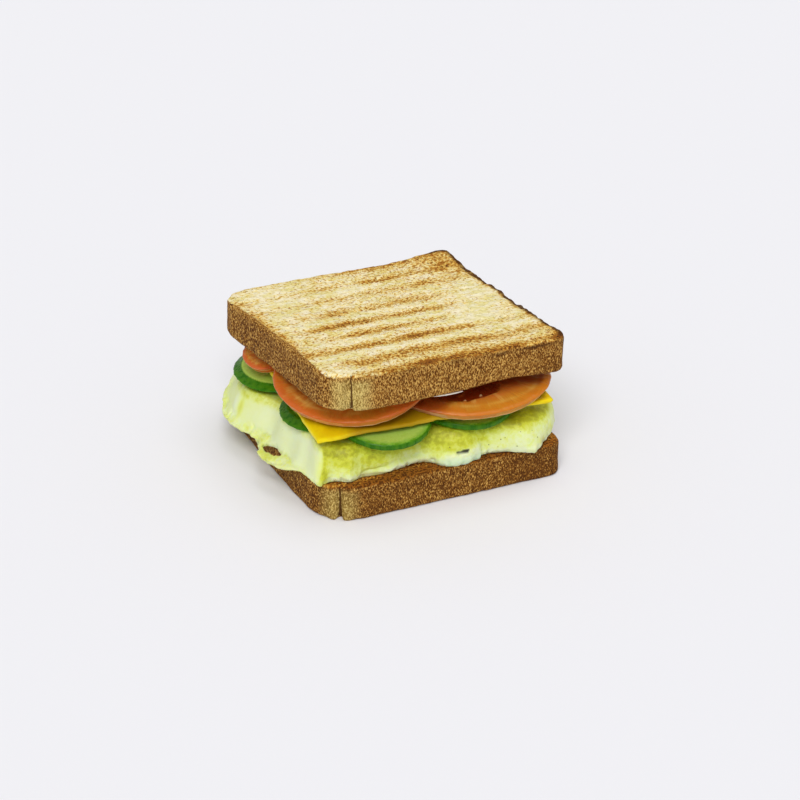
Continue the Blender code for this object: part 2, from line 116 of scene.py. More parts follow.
class Variation:
    """Smooth random values in space, the same in every run."""

    SIZE = 24

    def __init__(self, seed: int) -> None:
        """Fills a block of space, which repeats, with random values."""
        self.block = np.random.default_rng(seed).uniform(-1.0, 1.0, (self.SIZE,) * 3)

    def once(self, place: Array) -> Array:
        """Reads the block between its values.

        Args:
            place: Points, in steps of the block.

        Returns:
            One value from -1 to 1 for each point.
        """
        low = np.floor(place).astype(int)
        share = place - low
        share = share * share * (3.0 - 2.0 * share)
        i, j, k = (low % self.SIZE).T
        far_i, far_j, far_k = ((low + 1) % self.SIZE).T
        u, v, w = share.T
        near = (self.block[i, j, k] * (1 - w) + self.block[i, j, far_k] * w) * (1 - v)
        near += (self.block[i, far_j, k] * (1 - w) + self.block[i, far_j, far_k] * w) * v
        far = (self.block[far_i, j, k] * (1 - w) + self.block[far_i, j, far_k] * w) * (1 - v)
        far += (self.block[far_i, far_j, k] * (1 - w) + self.block[far_i, far_j, far_k] * w) * v
        return near * (1 - u) + far * u

    def at(self, points: Array, wavelength: float, octaves: int = 1, stretch: Triple = EVEN) -> Array:
        """Values that vary over a wavelength, with finer octaves on top.

        Args:
            points: Points in space, in metres.
            wavelength: Distance over which the coarsest octave varies, in metres.
            octaves: How many octaves, each half as strong and half as long as the last.
            stretch: How much longer the variation is along each axis.

        Returns:
            One value from about -1 to 1 for each point.
        """
        place = points / (wavelength * np.array(stretch))
        total, weight, sum_of_weights = 0.0, 1.0, 0.0
        for octave in range(octaves):
            total = total + weight * self.once(place + 7.3 * octave)
            sum_of_weights += weight
            weight *= 0.5
            place = place * 2.0
        return total / sum_of_weights


class Scatter:
    """Centres strewn evenly but irregularly through space, such as the pores of bread."""

    SIZE = 20

    def __init__(self, seed: int) -> None:
        """Draws one centre for each cell of a block of space, which repeats."""
        self.offsets = np.random.default_rng(seed).uniform(0.0, 1.0, (self.SIZE,) * 3 + (3,))

    def distance(self, points: Array, spacing: float) -> Array:
        """Distance from each point to the nearest centre.

        Args:
            points: Points in space, in metres.
            spacing: How far apart the centres lie on average, in metres.

        Returns:
            Distances, in spacings.
        """
        place = points / spacing
        cell = np.floor(place).astype(int)
        nearest = np.full(len(points), 9.0)
        for step in np.ndindex(3, 3, 3):
            other = cell + np.array(step) - 1
            i, j, k = (other % self.SIZE).T
            away = place - (other + self.offsets[i, j, k])
            nearest = np.minimum(nearest, np.einsum("ij,ij->i", away, away))
        return np.sqrt(nearest)


# Working meshes

def put_in_scene(name: str, data: bpy.types.ID) -> bpy.types.Object:
    """Makes an object of a mesh, a lamp or a camera, and puts it in the scene."""
    body = bpy.data.objects.new(name, data)
    bpy.context.scene.collection.objects.link(body)
    return body


class Skin:
    """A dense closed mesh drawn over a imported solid, held as arrays while it is shaped."""

    STEP_IN = 0.5
    STEP_OUT = -0.52

    def __init__(self, node: str, name: str, cell: float, relax: int = 2) -> None:
        """Draws the mesh.

        Args:
            node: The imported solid.
            name: The name of the new piece.
            cell: Size of the mesh's cells, in metres.
            relax: How many rounds of smoothing take the solid's facets off.
        """
        self.node = node
        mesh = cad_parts[node].data.copy()
        welded = bmesh.new()
        welded.from_mesh(mesh)
        bmesh.ops.remove_doubles(welded, verts=welded.verts, dist=1e-6)
        welded.to_mesh(mesh)
        welded.free()
        self.body = put_in_scene(name, mesh)
        cells = self.body.modifiers.new("cells", "REMESH")
        cells.mode = "VOXEL"
        cells.voxel_size = cell
        shown = self.body.evaluated_get(bpy.context.evaluated_depsgraph_get())
        self.mesh = bpy.data.meshes.new_from_object(shown)
        self.mesh.name = name
        self.body.modifiers.clear()
        self.body.data = self.mesh
        self.mesh.materials.clear()
        self.count = len(self.mesh.vertices)
        self.points = np.empty(self.count * 3)
        self.mesh.vertices.foreach_get("co", self.points)
        self.points = self.points.reshape(-1, 3)
        edges = np.empty(len(self.mesh.edges) * 2, dtype=np.int32)
        self.mesh.edges.foreach_get("vertices", edges)
        self.edges = edges.reshape(-1, 2)
        self.degree = np.bincount(self.edges.ravel(), minlength=self.count)
        self.relax(relax)

    def neighbour_mean(self, values: Array) -> Array:
        """The mean over each point's neighbours.

        Args:
            values: One value, or one vector, a point.

        Returns:
            The means, in the same form.
        """
        first, second = self.edges.T
        columns = values.reshape(self.count, -1)
        total = np.empty_like(columns)
        for k in range(columns.shape[1]):
            total[:, k] = np.bincount(first, columns[second, k], self.count)
            total[:, k] += np.bincount(second, columns[first, k], self.count)
        return (total / self.degree[:, None]).reshape(values.shape)

    def draw_in(self, share: float | Array) -> None:
        """Moves points a share of the way to the mean of their neighbours."""
        self.points += share * (self.neighbour_mean(self.points) - self.points)

    def relax(self, rounds: int) -> None:
        """Smooths the mesh without shrinking it: each step in is followed by one out."""
        for _ in range(rounds):
            self.draw_in(self.STEP_IN)
            self.draw_in(self.STEP_OUT)

    def round_over(self, share: Array, rounds: int) -> None:
        """Wears edges round where the share of each point that gives way is above 0."""
        for _ in range(rounds):
            self.draw_in(self.STEP_IN * share[:, None])

    def normals(self, rounds: int = 0) -> Array:
        """Finds the way that the surface faces at each point.

        Args:
            rounds: How many rounds of smoothing even it out.

        Returns:
            Vectors of length 1.
        """
        self.mesh.vertices.foreach_set("co", self.points.ravel())
        self.mesh.update()
        facing = np.empty(self.count * 3)
        self.mesh.vertices.foreach_get("normal", facing)
        facing = facing.reshape(-1, 3)
        for _ in range(rounds):
            facing = self.neighbour_mean(facing)
        return facing / np.linalg.norm(facing, axis=1, keepdims=True)

    def push(self, amount: Array, facing: Array) -> None:
        """Moves points by an amount each, along one vector or one a point."""
        self.points += facing * amount[:, None]

    def masks(self, **kept: Array) -> None:
        """Keeps values or vectors, one a point, for the material to read.

        Args:
            kept: The values or vectors of each mask, by its name.
        """
        for name, values in kept.items():
            kind, field = ("FLOAT", "value") if values.ndim == 1 else ("FLOAT_VECTOR", "vector")
            layer = self.mesh.attributes.new(name, kind, "POINT")
            layer.data.foreach_set(field, values.astype(np.float32).ravel())

    def finish(self, material: bpy.types.Material, slot: str) -> bpy.types.Object:
        """Writes the shape back, dresses it and has it stand for its solid.

        Args:
            material: What the piece wears.
            slot: The record's material slot; not used.

        Returns:
            The finished piece.
        """
        self.normals()
        self.mesh.materials.append(material)
        self.mesh.shade_smooth()
        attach(self.body, "root")
        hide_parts(self.node)
        LOG.info("%s: %d points, %d faces", self.body.name, self.count, len(self.mesh.polygons))
        return self.body


# Node trees

Socket = bpy.types.NodeSocket


class Graph:
    """Adds linked nodes to one tree."""

    def __init__(self, tree: bpy.types.NodeTree) -> None:
        """Starts from an empty tree."""
        self.tree = tree
        tree.nodes.clear()

    def feed(self, socket: Socket, value: Socket | float | tuple) -> None:
        """Links a value to an input, or sets it there where it is fixed.

        Args:
            socket: The input.
            value: Another node's output, or a fixed value.
        """
        if isinstance(value, Socket):
            self.tree.links.new(value, socket)
        else:
            socket.default_value = value

    def add(self, kind: str, sockets: dict | None = None, **settings: object) -> bpy.types.Node:
        """Adds a node.

        Args:
            kind: The node's type, without the part that all shader nodes share.
            sockets: What goes into its inputs, by name or number: a socket or a fixed value.
            settings: Its own settings.

        Returns:
            The node.
        """
        node = self.tree.nodes.new("ShaderNode" + kind)
        for key, value in settings.items():
            setattr(node, key, value)
        for key, value in (sockets or {}).items():
            self.feed(node.inputs[key], value)
        return node

    def calc(self, operation: str, *terms: Socket | float) -> Socket:
        """A sum, product or other mathematics on one to three terms."""
        return self.add("Math", dict(enumerate(terms)), operation=operation).outputs[0]

    def total(self, *terms: Socket | float) -> Socket:
        """The sum of any number of terms."""
        return reduce(lambda first, second: self.calc("ADD", first, second), terms)

    def times(self, *terms: Socket | float) -> Socket:
        """The product of any number of terms."""
        return reduce(lambda first, second: self.calc("MULTIPLY", first, second), terms)

    def rise(self, value: Socket, low: Socket | float, high: Socket | float,
             start: float = 0.0, end: float = 1.0) -> Socket:
        """Goes smoothly from start to end while a value goes from low to high."""
        sockets = {"Value": value, "From Min": low, "From Max": high, "To Min": start, "To Max": end}
        return self.add("MapRange", sockets, interpolation_type="SMOOTHSTEP").outputs[0]

    def mix(self, share: Socket | float, first: Socket | tuple, second: Socket | tuple) -> Socket:
        """Goes from the first colour to the second as share goes from 0 to 1."""
        return self.add("Mix", {0: share, 6: first, 7: second}, data_type="RGBA").outputs[2]

    def ramp(self, value: Socket, stops: tuple[tuple[float, tuple], ...]) -> Socket:
        """Reads a colour off a row of stops.

        Args:
            value: The place at which it is read, from 0 to 1.
            stops: The place and the colour of each stop.

        Returns:
            The colour.
        """
        node = self.add("ValToRGB", {0: value})
        elements = node.color_ramp.elements
        while len(elements) < len(stops):
            elements.new(0.5)
        for element, (place, colour) in zip(elements, stops):
            element.position = place
            element.color = colour
        return node.outputs[0]

    def mask(self, name: str) -> Socket:
        """A value kept on the mesh."""
        return self.add("Attribute", attribute_name=name).outputs["Fac"]

    def place(self, name: str) -> Socket:
        """A vector kept on the mesh."""
        return self.add("Attribute", attribute_name=name).outputs["Vector"]

    def use(self, group: bpy.types.NodeTree, **sockets: Socket | float | tuple) -> Socket:
        """Places a node group.

        Args:
            group: The group.
            sockets: What goes into its inputs, by name with underscores for spaces.

        Returns:
            Its output.
        """
        named = {key.replace("_", " ").title(): value for key, value in sockets.items()}
        return self.add("Group", named, node_tree=group).outputs[0]


class Group(Graph):
    """A node group with named inputs and one named output."""

    def __init__(self, name: str, inputs: dict[str, float | tuple], output: str) -> None:
        """Makes the group and its sockets.

        Args:
            name: The group's name.
            inputs: The default of each input: a number, or three for a vector.
            output: The name of its output, a number that changes over the surface.
        """
        super().__init__(bpy.data.node_groups.new(name, "ShaderNodeTree"))
        for key, default in inputs.items():
            kind = "NodeSocketVector" if isinstance(default, tuple) else "NodeSocketFloat"
            socket = self.tree.interface.new_socket(key, in_out="INPUT", socket_type=kind)
            socket.default_value = default
        self.tree.interface.new_socket(output, in_out="OUTPUT", socket_type="NodeSocketFloat")
        self.given = self.tree.nodes.new("NodeGroupInput").outputs

    def close(self, value: Socket) -> bpy.types.NodeTree:
        """Feeds the output, and gives the finished group."""
        self.tree.links.new(value, self.tree.nodes.new("NodeGroupOutput").inputs[0])
        return self.tree


class Effects:
    """The effects that more than one finish uses, each a node group that is built once."""

    def __init__(self) -> None:
        """Builds the groups."""
        self.grain = self.build_grain()
        self.pores = self.build_pores()
        self.relief = self.build_relief()

    @staticmethod
    def build_grain() -> bpy.types.NodeTree:
        """Builds soft flecks: random variation at one scale, longer along some axes, with contrast.

        Returns:
            The group.
        """
        inputs = {"Place": ORIGIN, "Squeeze": EVEN, "Scale": 1000.0, "Low": 0.35, "High": 0.65}
        group = Group("Grain", inputs, "Mask")
        given = group.given
        place = group.add("VectorMath", {0: given["Place"], 1: given["Squeeze"]}, operation="MULTIPLY")
        noise = group.add("TexNoise", {"Vector": place.outputs[0], "Scale": given["Scale"],
                                       "Detail": 2.0, "Roughness": 0.55})
        return group.close(group.rise(noise.outputs[0], given["Low"], given["High"]))

    @staticmethod
    def build_pores() -> bpy.types.NodeTree:
        """Builds small round pits, irregular in size and outline.

        Returns:
            The group.
        """
        group = Group("Pores", {"Place": ORIGIN, "Scale": 700.0, "Size": 0.3}, "Mask")
        given = group.given
        bent = group.add("TexNoise", {"Vector": given["Place"], "Scale": 900.0, "Detail": 1.0})
        shift = group.add("VectorMath", {0: bent.outputs["Color"], 3: 0.0008}, operation="SCALE")
        place = group.add("VectorMath", {0: given["Place"], 1: shift.outputs[0]}, operation="ADD")
        cells = group.add("TexVoronoi", {"Vector": place.outputs[0], "Scale": given["Scale"]})
        size = group.times(given["Size"], 1.6)
        return group.close(group.rise(cells.outputs["Distance"], size, given["Size"]))

    @staticmethod
    def build_relief() -> bpy.types.NodeTree:
        """Builds the height of a rough surface: a fine roughness on a coarser one.

        Returns:
            The group.
        """
        inputs = {"Place": ORIGIN, "Coarse Scale": 300.0, "Fine Scale": 1200.0, "Fine Share": 0.5}
        group = Group("Relief", inputs, "Height")
        given = group.given
        coarse, fine = (
            group.add("TexNoise", {"Vector": given["Place"], "Scale": given[scale], "Detail": 3.0})
            for scale in ("Coarse Scale", "Fine Scale")
        )
        return group.close(group.total(coarse.outputs[0], group.times(fine.outputs[0], given["Fine Share"])))


class Look(Graph):
    """A material on the way: its graph, its Principled shader and where its surface is."""

    def __init__(self, name: str, effects: Effects | None = None, place: str = "") -> None:
        """Starts a material with a shader and an output.

        Args:
            name: The material's name.
            effects: The node groups that it uses, if any.
            place: The vector on the mesh that they read, or nothing for the object's own.
        """
        self.material = bpy.data.materials.new(name)
        self.material.use_nodes = True
        super().__init__(self.material.node_tree)
        self.shader = self.add("BsdfPrincipled")
        out = self.add("OutputMaterial")
        self.tree.links.new(self.shader.outputs[0], out.inputs[0])
        self.effects = effects
        if effects:
            self.where = self.place(place) if place else self.add("TexCoord").outputs["Object"]

    def grain(self, scale: float, low: Socket | float = 0.3, high: Socket | float = 0.7,
              where: Socket | None = None, squeeze: Triple = EVEN) -> Socket:
        """Soft flecks.

        Args:
            scale: How fine they are.
            low: The random value up to which there are none.
            high: The random value from which they are full.
            where: The place that they read, if not the surface's.
            squeeze: How much finer they are along each axis.

        Returns:
            1 in the flecks, 0 between them.
        """
        where = self.where if where is None else where
        return self.use(self.effects.grain, place=where, squeeze=squeeze, scale=scale, low=low, high=high)

    def relief(self, coarse: float, fine: float, share: float, where: Socket | None = None) -> Socket:
        """Height of a rough surface: a share of a fine roughness on a coarse one."""
        where = self.where if where is None else where
        return self.use(self.effects.relief, place=where, coarse_scale=coarse, fine_scale=fine,
                        fine_share=share)

    def swing(self, value: Socket, *shares: Socket | float) -> Socket:
        """A value from 0 to 1 moved to lie about 0, times some shares."""
        return self.times(self.total(value, -0.5), *shares)

    def over(self, colour: Socket, **layers: tuple) -> Socket:
        """Lays colours over a colour.

        Args:
            colour: What they are laid over.
            layers: Each colour, by the name of the mask on the mesh that says where it lies.

        Returns:
            The colour.
        """
        for name, laid in layers.items():
            colour = self.mix(self.mask(name), colour, laid)
        return colour

    def set(self, name: str, value: Socket | float | tuple) -> None:
        """Feeds or sets one of the shader's inputs."""
        self.feed(self.shader.inputs[name], value)

    def surface(self, colour: Socket | tuple, roughness: Socket | float, specular: float = 0.5) -> None:
        """Sets the colour, the roughness and how strongly the surface reflects."""
        self.set("Base Color", colour)
        self.set("Roughness", roughness)
        self.set("Specular IOR Level", specular)

    def bump(self, height: Socket, depth: float) -> None:
        """Roughens the shading by a height, whose full range is depth in metres."""
        node = self.add("Bump", {"Height": height, "Distance": depth, "Strength": 1.0})
        self.set("Normal", node.outputs[0])

    def flesh(self, weight: float, radius: Triple) -> None:
        """Lets light into the surface, as moist food does."""
        self.set("Subsurface Weight", weight)
        self.set("Subsurface Scale", 1.0)
        self.set("Subsurface Radius", radius)


# Finishes

@dataclass(frozen=True)
class ToastFinish:
    """Crumb toasted in bands, and a brown crust with a fine upright grain, with painted shade in its crack.
    """

    effects: Effects
    white: Colour = tint(254, 246, 222)
    cream: Colour = tint(248, 236, 190)
    lime: Colour = tint(226, 214, 122)
    straw: Colour = tint(242, 222, 152)
    golden: Colour = tint(226, 184, 90)
    amber: Colour = tint(194, 134, 46)
    brown: Colour = tint(132, 76, 20)
    speck: Colour = tint(158, 98, 34)
    # burnt: char on the crumb and crust, also used as painted shade inside the crack
    burnt: Colour = tint(72, 38, 12)
    crust_dark: Colour = tint(84, 48, 14)
    crust_brown: Colour = tint(124, 77, 26)
    crust_tan: Colour = tint(164, 112, 44)
    crust_light: Colour = tint(214, 170, 92)
    husk_dark: Colour = tint(146, 116, 52)
    husk_light: Colour = tint(220, 194, 118)
    crust_depth: tuple[float, float] = (0.30, 1.10)

    @staticmethod
    def spots(look: Look, scale: float, bar: float, drop: float) -> Socket:
        """Small spots that come closer together where the slice is browner.

        Args:
            look: The material.
            scale: How fine the spots are.
            bar: How high the random value has to be on bread that isn't toasted.
            drop: How much lower that is where the slice is brownest.

        Returns:
            1 in the spots, 0 between them.
        """
        low = look.calc("MULTIPLY_ADD", look.mask("browning"), -drop, bar)
        return look.grain(scale, low, look.calc("ADD", low, 0.06))

    def crumb(self, look: Look) -> Socket:
        """Colour of the toasted face.

        Args:
            look: The material.

        Returns:
            The colour.
        """
        toned = look.total(
            look.mask("browning"),
            look.swing(look.grain(300.0), 0.20),
            look.swing(look.grain(760.0, 0.36, 0.64), 0.38),
            look.swing(look.grain(1500.0, 0.40, 0.60), 0.26),
        )
        stops = ((0.06, self.cream), (0.26, self.straw), (0.50, self.golden), (0.76, self.amber),
                 (1.0, self.brown))
        colour = look.ramp(toned, stops)
        pale = look.rise(look.mask("browning"), 0.62, 0.20)
        tinged = look.times(look.grain(75.0, 0.42, 0.62), pale, 0.50)
        colour = look.mix(tinged, colour, self.lime)
        flour = look.times(look.grain(420.0, 0.46, 0.62, squeeze=(0.5, 1.0, 1.0)), pale, 0.55)
        colour = look.mix(flour, colour, self.white)
        speck = look.times(self.spots(look, 760.0, 0.65, 0.21), 0.70)
        char = look.times(self.spots(look, 900.0, 0.71, 0.19), 0.85)
        return look.mix(char, look.mix(speck, colour, self.speck), self.burnt)

    def crust(self, look: Look) -> Socket:
        """Colour of the crust.

        Args:
            look: The material.

        Returns:
            The colour.
        """
        toned = look.total(
            look.mask("crust_tone"),
            look.swing(look.grain(3000.0, 0.34, 0.66, squeeze=(1.0, 0.60, 0.33)), 0.94),
            look.swing(look.grain(1700.0, 0.36, 0.64, squeeze=(1.0, 0.7, 0.8)), 0.42),
            look.swing(look.grain(210.0), 0.16),
        )
        stops = ((0.08, self.crust_dark), (0.38, self.crust_brown), (0.64, self.crust_tan),
                 (0.94, self.crust_light))
        husk = look.ramp(toned, ((0.15, self.husk_dark), (0.85, self.husk_light)))
        return look.mix(look.mask("husk"), look.ramp(toned, stops), husk)

    def material(self) -> bpy.types.Material:
        """Builds the material.

        Returns:
            The material.
        """
        look = Look("toasted_bread", self.effects, "slice_place")
        ragged = look.grain(420.0, 0.25, 0.75)
        side = look.rise(look.total(look.mask("rim_depth"), look.swing(ragged, 1.1)), *self.crust_depth)
        colour = look.over(look.mix(side, self.crumb(look), self.crust(look)), scorch=self.burnt)
        # The crack is painted dark in the burnt colour: painted shade inside it.
        off_crack = look.calc("ABSOLUTE", look.total(look.mask("crack_off"), look.swing(ragged, 0.35)))
        breadth = look.mask("crack_breadth")
        line = look.rise(off_crack, breadth, look.times(breadth, 0.35))
        line = look.times(line, look.rise(breadth, 0.02, 0.12), 0.92)
        look.surface(look.mix(line, colour, self.burnt), look.rise(side, 0.0, 1.0, 0.9, 0.78), 0.1)
        pores = look.use(self.effects.pores, place=look.where, scale=560.0, size=0.25)
        look.bump(look.total(look.relief(520.0, 1700.0, 0.55), look.times(pores, -0.4)), 0.0005)
        return look.material


@dataclass(frozen=True)
class OmeletteFinish:
    """Moist egg: pale where it is thin or folded over, yellow where it is thick, with painted olive shade
    under the cucumbers and cheese.
    """

    effects: Effects
    pale: Colour = tint(229, 239, 192)
    lime: Colour = tint(224, 234, 134)
    yellow: Colour = tint(206, 212, 58)
    # deep: the olive stop, which paints shade where the egg lies under the cucumbers and cheese
    deep: Colour = tint(168, 170, 34)
    stain: Colour = tint(150, 118, 46)
    # The slit's near-black colour is painted shade in its groove.
    slit: Colour = tint(30, 32, 0)
    mint: Colour = tint(206, 232, 194)
    flesh_radius: Triple = (0.0030, 0.0024, 0.0010)

    def material(self) -> bpy.types.Material:
        """Builds the material.

        Returns:
            The material.
        """
        look = Look("folded_egg", self.effects, "egg_place")
        mottle = look.mask("mottle")
        cloud, fleck = look.grain(120.0), look.grain(560.0, 0.35, 0.65)
        toned = look.total(look.mask("yolk"), look.swing(cloud, mottle, 0.26),
                           look.swing(fleck, mottle, 0.19))
        stops = ((0.04, self.pale), (0.40, self.lime), (0.72, self.yellow), (1.0, self.deep))
        colour = look.over(look.ramp(toned, stops), stain=self.stain, mint=self.mint, slit=self.slit)
        look.surface(colour, look.rise(cloud, 0.0, 1.0, 0.40, 0.58), 0.3)
        look.flesh(0.30, self.flesh_radius)
        look.bump(look.times(look.relief(240.0, 850.0, 0.35), mottle), 0.0007)
        return look.material


@dataclass(frozen=True)
class CucumberFinish:
    """Wet pale flesh in a dark green rind."""

    effects: Effects
    rind: Colour = tint(42, 104, 0)
    rind_light: Colour = tint(92, 146, 10)
    under_rind: Colour = tint(124, 180, 54)
    flesh: Colour = tint(178, 212, 92)
    core: Colour = tint(192, 216, 138)
    seed: Colour = tint(214, 224, 160)
    flesh_radius: Triple = (0.0016, 0.0026, 0.0010)

    def material(self) -> bpy.types.Material:
        """Builds the material.

        Returns:
            The material.
        """
        look = Look("cucumber_slice", self.effects, "slice_place")
        cloud, streak = look.grain(9.0), look.grain(30.0)
        spread = look.total(look.mask("radius_share"), look.swing(cloud, 0.05), look.swing(streak, 0.03))
        stops = ((0.0, self.core), (0.50, self.flesh), (0.84, self.flesh), (0.95, self.under_rind),
                 (0.985, self.rind_light))
        inside = look.over(look.ramp(spread, stops), seed=self.seed)
        outside = look.mix(look.times(cloud, 0.45), self.rind, self.rind_light)
        colour = look.mix(look.mask("rind"), inside, outside)
        look.surface(colour, look.rise(cloud, 0.0, 1.0, 0.24, 0.40), 0.18)
        look.flesh(0.22, self.flesh_radius)
        look.bump(look.relief(14.0, 50.0, 0.2), 0.00008)
        return look.material


@dataclass(frozen=True)
class CheeseFinish:
    """Smooth yellow cheese with a faint mottle, and painted darker shade where it lies under the tomatoes.
    """

    effects: Effects
    yellow: Colour = tint(242, 224, 12)
    deep: Colour = tint(232, 204, 6)
    # wet: the colour of the painted shade under the tomatoes
    wet: Colour = tint(162, 120, 12)
    flesh_radius: Triple = (0.0016, 0.0014, 0.0004)

    def material(self) -> bpy.types.Material:
        """Builds the material.

        Returns:
            The material.
        """
        look = Look("sliced_cheese", self.effects, "cheese_place")
        cloud = look.grain(170.0)
        colour = look.over(look.mix(cloud, self.yellow, self.deep), soaked=self.wet)
        look.surface(colour, look.rise(cloud, 0.0, 1.0, 0.34, 0.46), 0.2)
        look.flesh(0.15, self.flesh_radius)
        look.bump(look.relief(220.0, 1100.0, 0.3), 0.00012)
        return look.material


@dataclass(frozen=True)
class TomatoFinish:
    """Cut tomato: red wall, orange flesh with pale rays, and dark wet pockets of seed, with painted shade
    under the top toast and painted highlights on the beads and along a ring of flesh.
    """

    effects: Effects
    skin: Colour = tint(200, 86, 28)
    wall: Colour = tint(204, 92, 36)
    flesh: Colour = tint(202, 122, 44)
    ray: Colour = tint(232, 184, 98)
    pocket: Colour = tint(134, 44, 8)
    seed: Colour = tint(170, 96, 34)
    # rim: the pale rim lines, and the colour of the painted highlights on the beads
    rim: Colour = tint(240, 200, 150)
    golden: Colour = tint(198, 140, 16)
    flesh_radius: Triple = (0.0030, 0.0012, 0.0005)

    def material(self) -> bpy.types.Material:
        """Builds the material.

        Returns:
            The material.
        """
        look = Look("tomato_slice", self.effects, "slice_place")
        rays = look.place("ray_place")
        cloud, fine = look.grain(5.0), look.grain(26.0)
        spread = look.total(look.mask("radius_share"), look.swing(cloud, 0.10), look.swing(fine, 0.03))
        inside = look.mix(look.rise(spread, 0.84, 0.99), self.flesh, self.wall)
        inside = look.mix(look.times(cloud, fine, 0.8), inside, self.wall)
        streak = look.grain(4.2, 0.50, 0.74, where=rays)
        inside = look.mix(look.times(streak, look.rise(spread, 0.96, 0.84), 0.7), inside, self.ray)
        # The ridge mask paints a highlight streak in the ray colour.
        inside = look.over(inside, ridge=self.ray, pocket=self.pocket, seed=self.seed)
        colour = look.over(inside, skin=self.skin, unripe=self.golden, ruddy=self.pocket, rim=self.rim)
        look.surface(colour, look.rise(look.mask("pocket"), 0.0, 1.0, 0.30, 0.10), 0.3)
        look.flesh(0.15, self.flesh_radius)
        look.bump(look.relief(5.0, 18.0, 0.4, where=rays), 0.0004)
        return look.material


@dataclass(frozen=True)
class SauceFinish:
    """Thick white sauce."""

    white: Colour = tint(250, 240, 228)
    flesh_radius: Triple = (0.0012, 0.0010, 0.0008)

    def material(self) -> bpy.types.Material:
        """Builds the material.

        Returns:
            The material.
        """
        look = Look("white_sauce")
        look.surface(self.white, 0.32)
        look.flesh(0.3, self.flesh_radius)
        return look.material


@dataclass(frozen=True)
class PepperFinish:
    """Ground pepper, dark with paler grains."""

    effects: Effects
    dark: Colour = tint(96, 92, 36)
    light: Colour = tint(160, 152, 84)

    def material(self) -> bpy.types.Material:
        """Builds the material.

        Returns:
            The material.
        """
        look = Look("ground_pepper", self.effects)
        look.surface(look.mix(look.grain(700.0, 0.4, 0.65), self.dark, self.light), 0.7)
        return look.material


# Toast

@dataclass(frozen=True)
class Band:
    """A stretch of browning across a slice, in millimetres from the slice's middle."""

    y: float
    start: float
    end: float
    amount: float
    half_width: float


@dataclass(frozen=True)
class Patch:
    """A darker or paler patch: its middle, how far it reaches, in millimetres, and how much it adds."""

    x: float
    y: float
    half_x: float
    half_y: float
    amount: float

    def at(self, x: Array, y: Array) -> Array:
        """How much it adds at each place."""
        return self.amount * hump(x, self.x, self.half_x) * hump(y, self.y, self.half_y)


TOP_BANDS = (
    Band(52.0, -6.0, 30.0, 0.34, 3.2),
    Band(37.5, 4.0, 20.0, 0.44, 2.4),
    Band(38.5, 20.0, 32.0, 0.26, 2.2),
    Band(36.0, -24.0, -8.0, 0.16, 2.0),
    Band(25.5, 0.0, 33.0, 0.36, 3.4),
    Band(25.0, -32.0, -6.0, 0.20, 2.4),
    Band(11.2, -28.0, 30.0, 0.36, 3.4),
    Band(-0.9, -38.0, 27.0, 0.46, 2.8),
    Band(-12.4, -27.0, 20.0, 0.38, 2.8),
    Band(-24.4, -30.0, 26.0, 0.42, 3.2),
    Band(-25.5, -52.0, -30.0, 0.24, 2.8),
    Band(-38.8, -44.0, 53.0, 0.40, 4.8),
    Band(-51.5, -38.0, 34.0, 0.48, 4.2),
    Band(-51.0, 30.0, 52.0, 0.36, 3.6),
)
TOP_PATCHES = (
    Patch(46.0, 41.0, 9.0, 14.0, 0.32),
    Patch(40.0, 52.0, 12.0, 6.0, 0.22),
    Patch(10.0, 47.0, 36.0, 9.0, 0.13),
    Patch(54.0, 0.0, 2.4, 60.0, 0.36),
    Patch(-51.6, 6.0, 2.4, 42.0, 0.30),
    Patch(52.0, -50.0, 5.0, 5.0, 0.36),
    Patch(-33.0, 29.5, 10.0, 3.4, -0.20),
    Patch(-35.0, 44.0, 12.0, 7.0, -0.10),
    Patch(-38.0, 4.4, 13.0, 3.2, -0.20),
    Patch(-26.0, -18.6, 12.0, 2.6, -0.20),
    Patch(34.0, -12.0, 10.0, 7.5, -0.30),
    Patch(30.0, -19.0, 14.0, 3.0, -0.24),
    Patch(-8.0, -31.0, 26.0, 2.4, -0.26),
    Patch(46.0, 8.0, 8.0, 12.0, -0.22),
    Patch(45.0, -31.0, 9.0, 3.0, -0.22),
    Patch(-4.0, 31.5, 12.0, 3.0, -0.20),
    Patch(5.0, 5.2, 24.0, 2.2, -0.16),
    Patch(-4.0, -6.8, 24.0, 2.0, -0.18),
    Patch(-45.0, -44.0, 6.0, 5.0, -0.16),
)
BASE_BANDS = tuple(Band(y, -50.0, 50.0, 0.30, 3.5) for y in (-52.0, -40.0, -28.0, -16.0, 40.0, 52.0))
BASE_PATCHES = (Patch(0.0, -52.0, 60.0, 8.0, 0.25),)


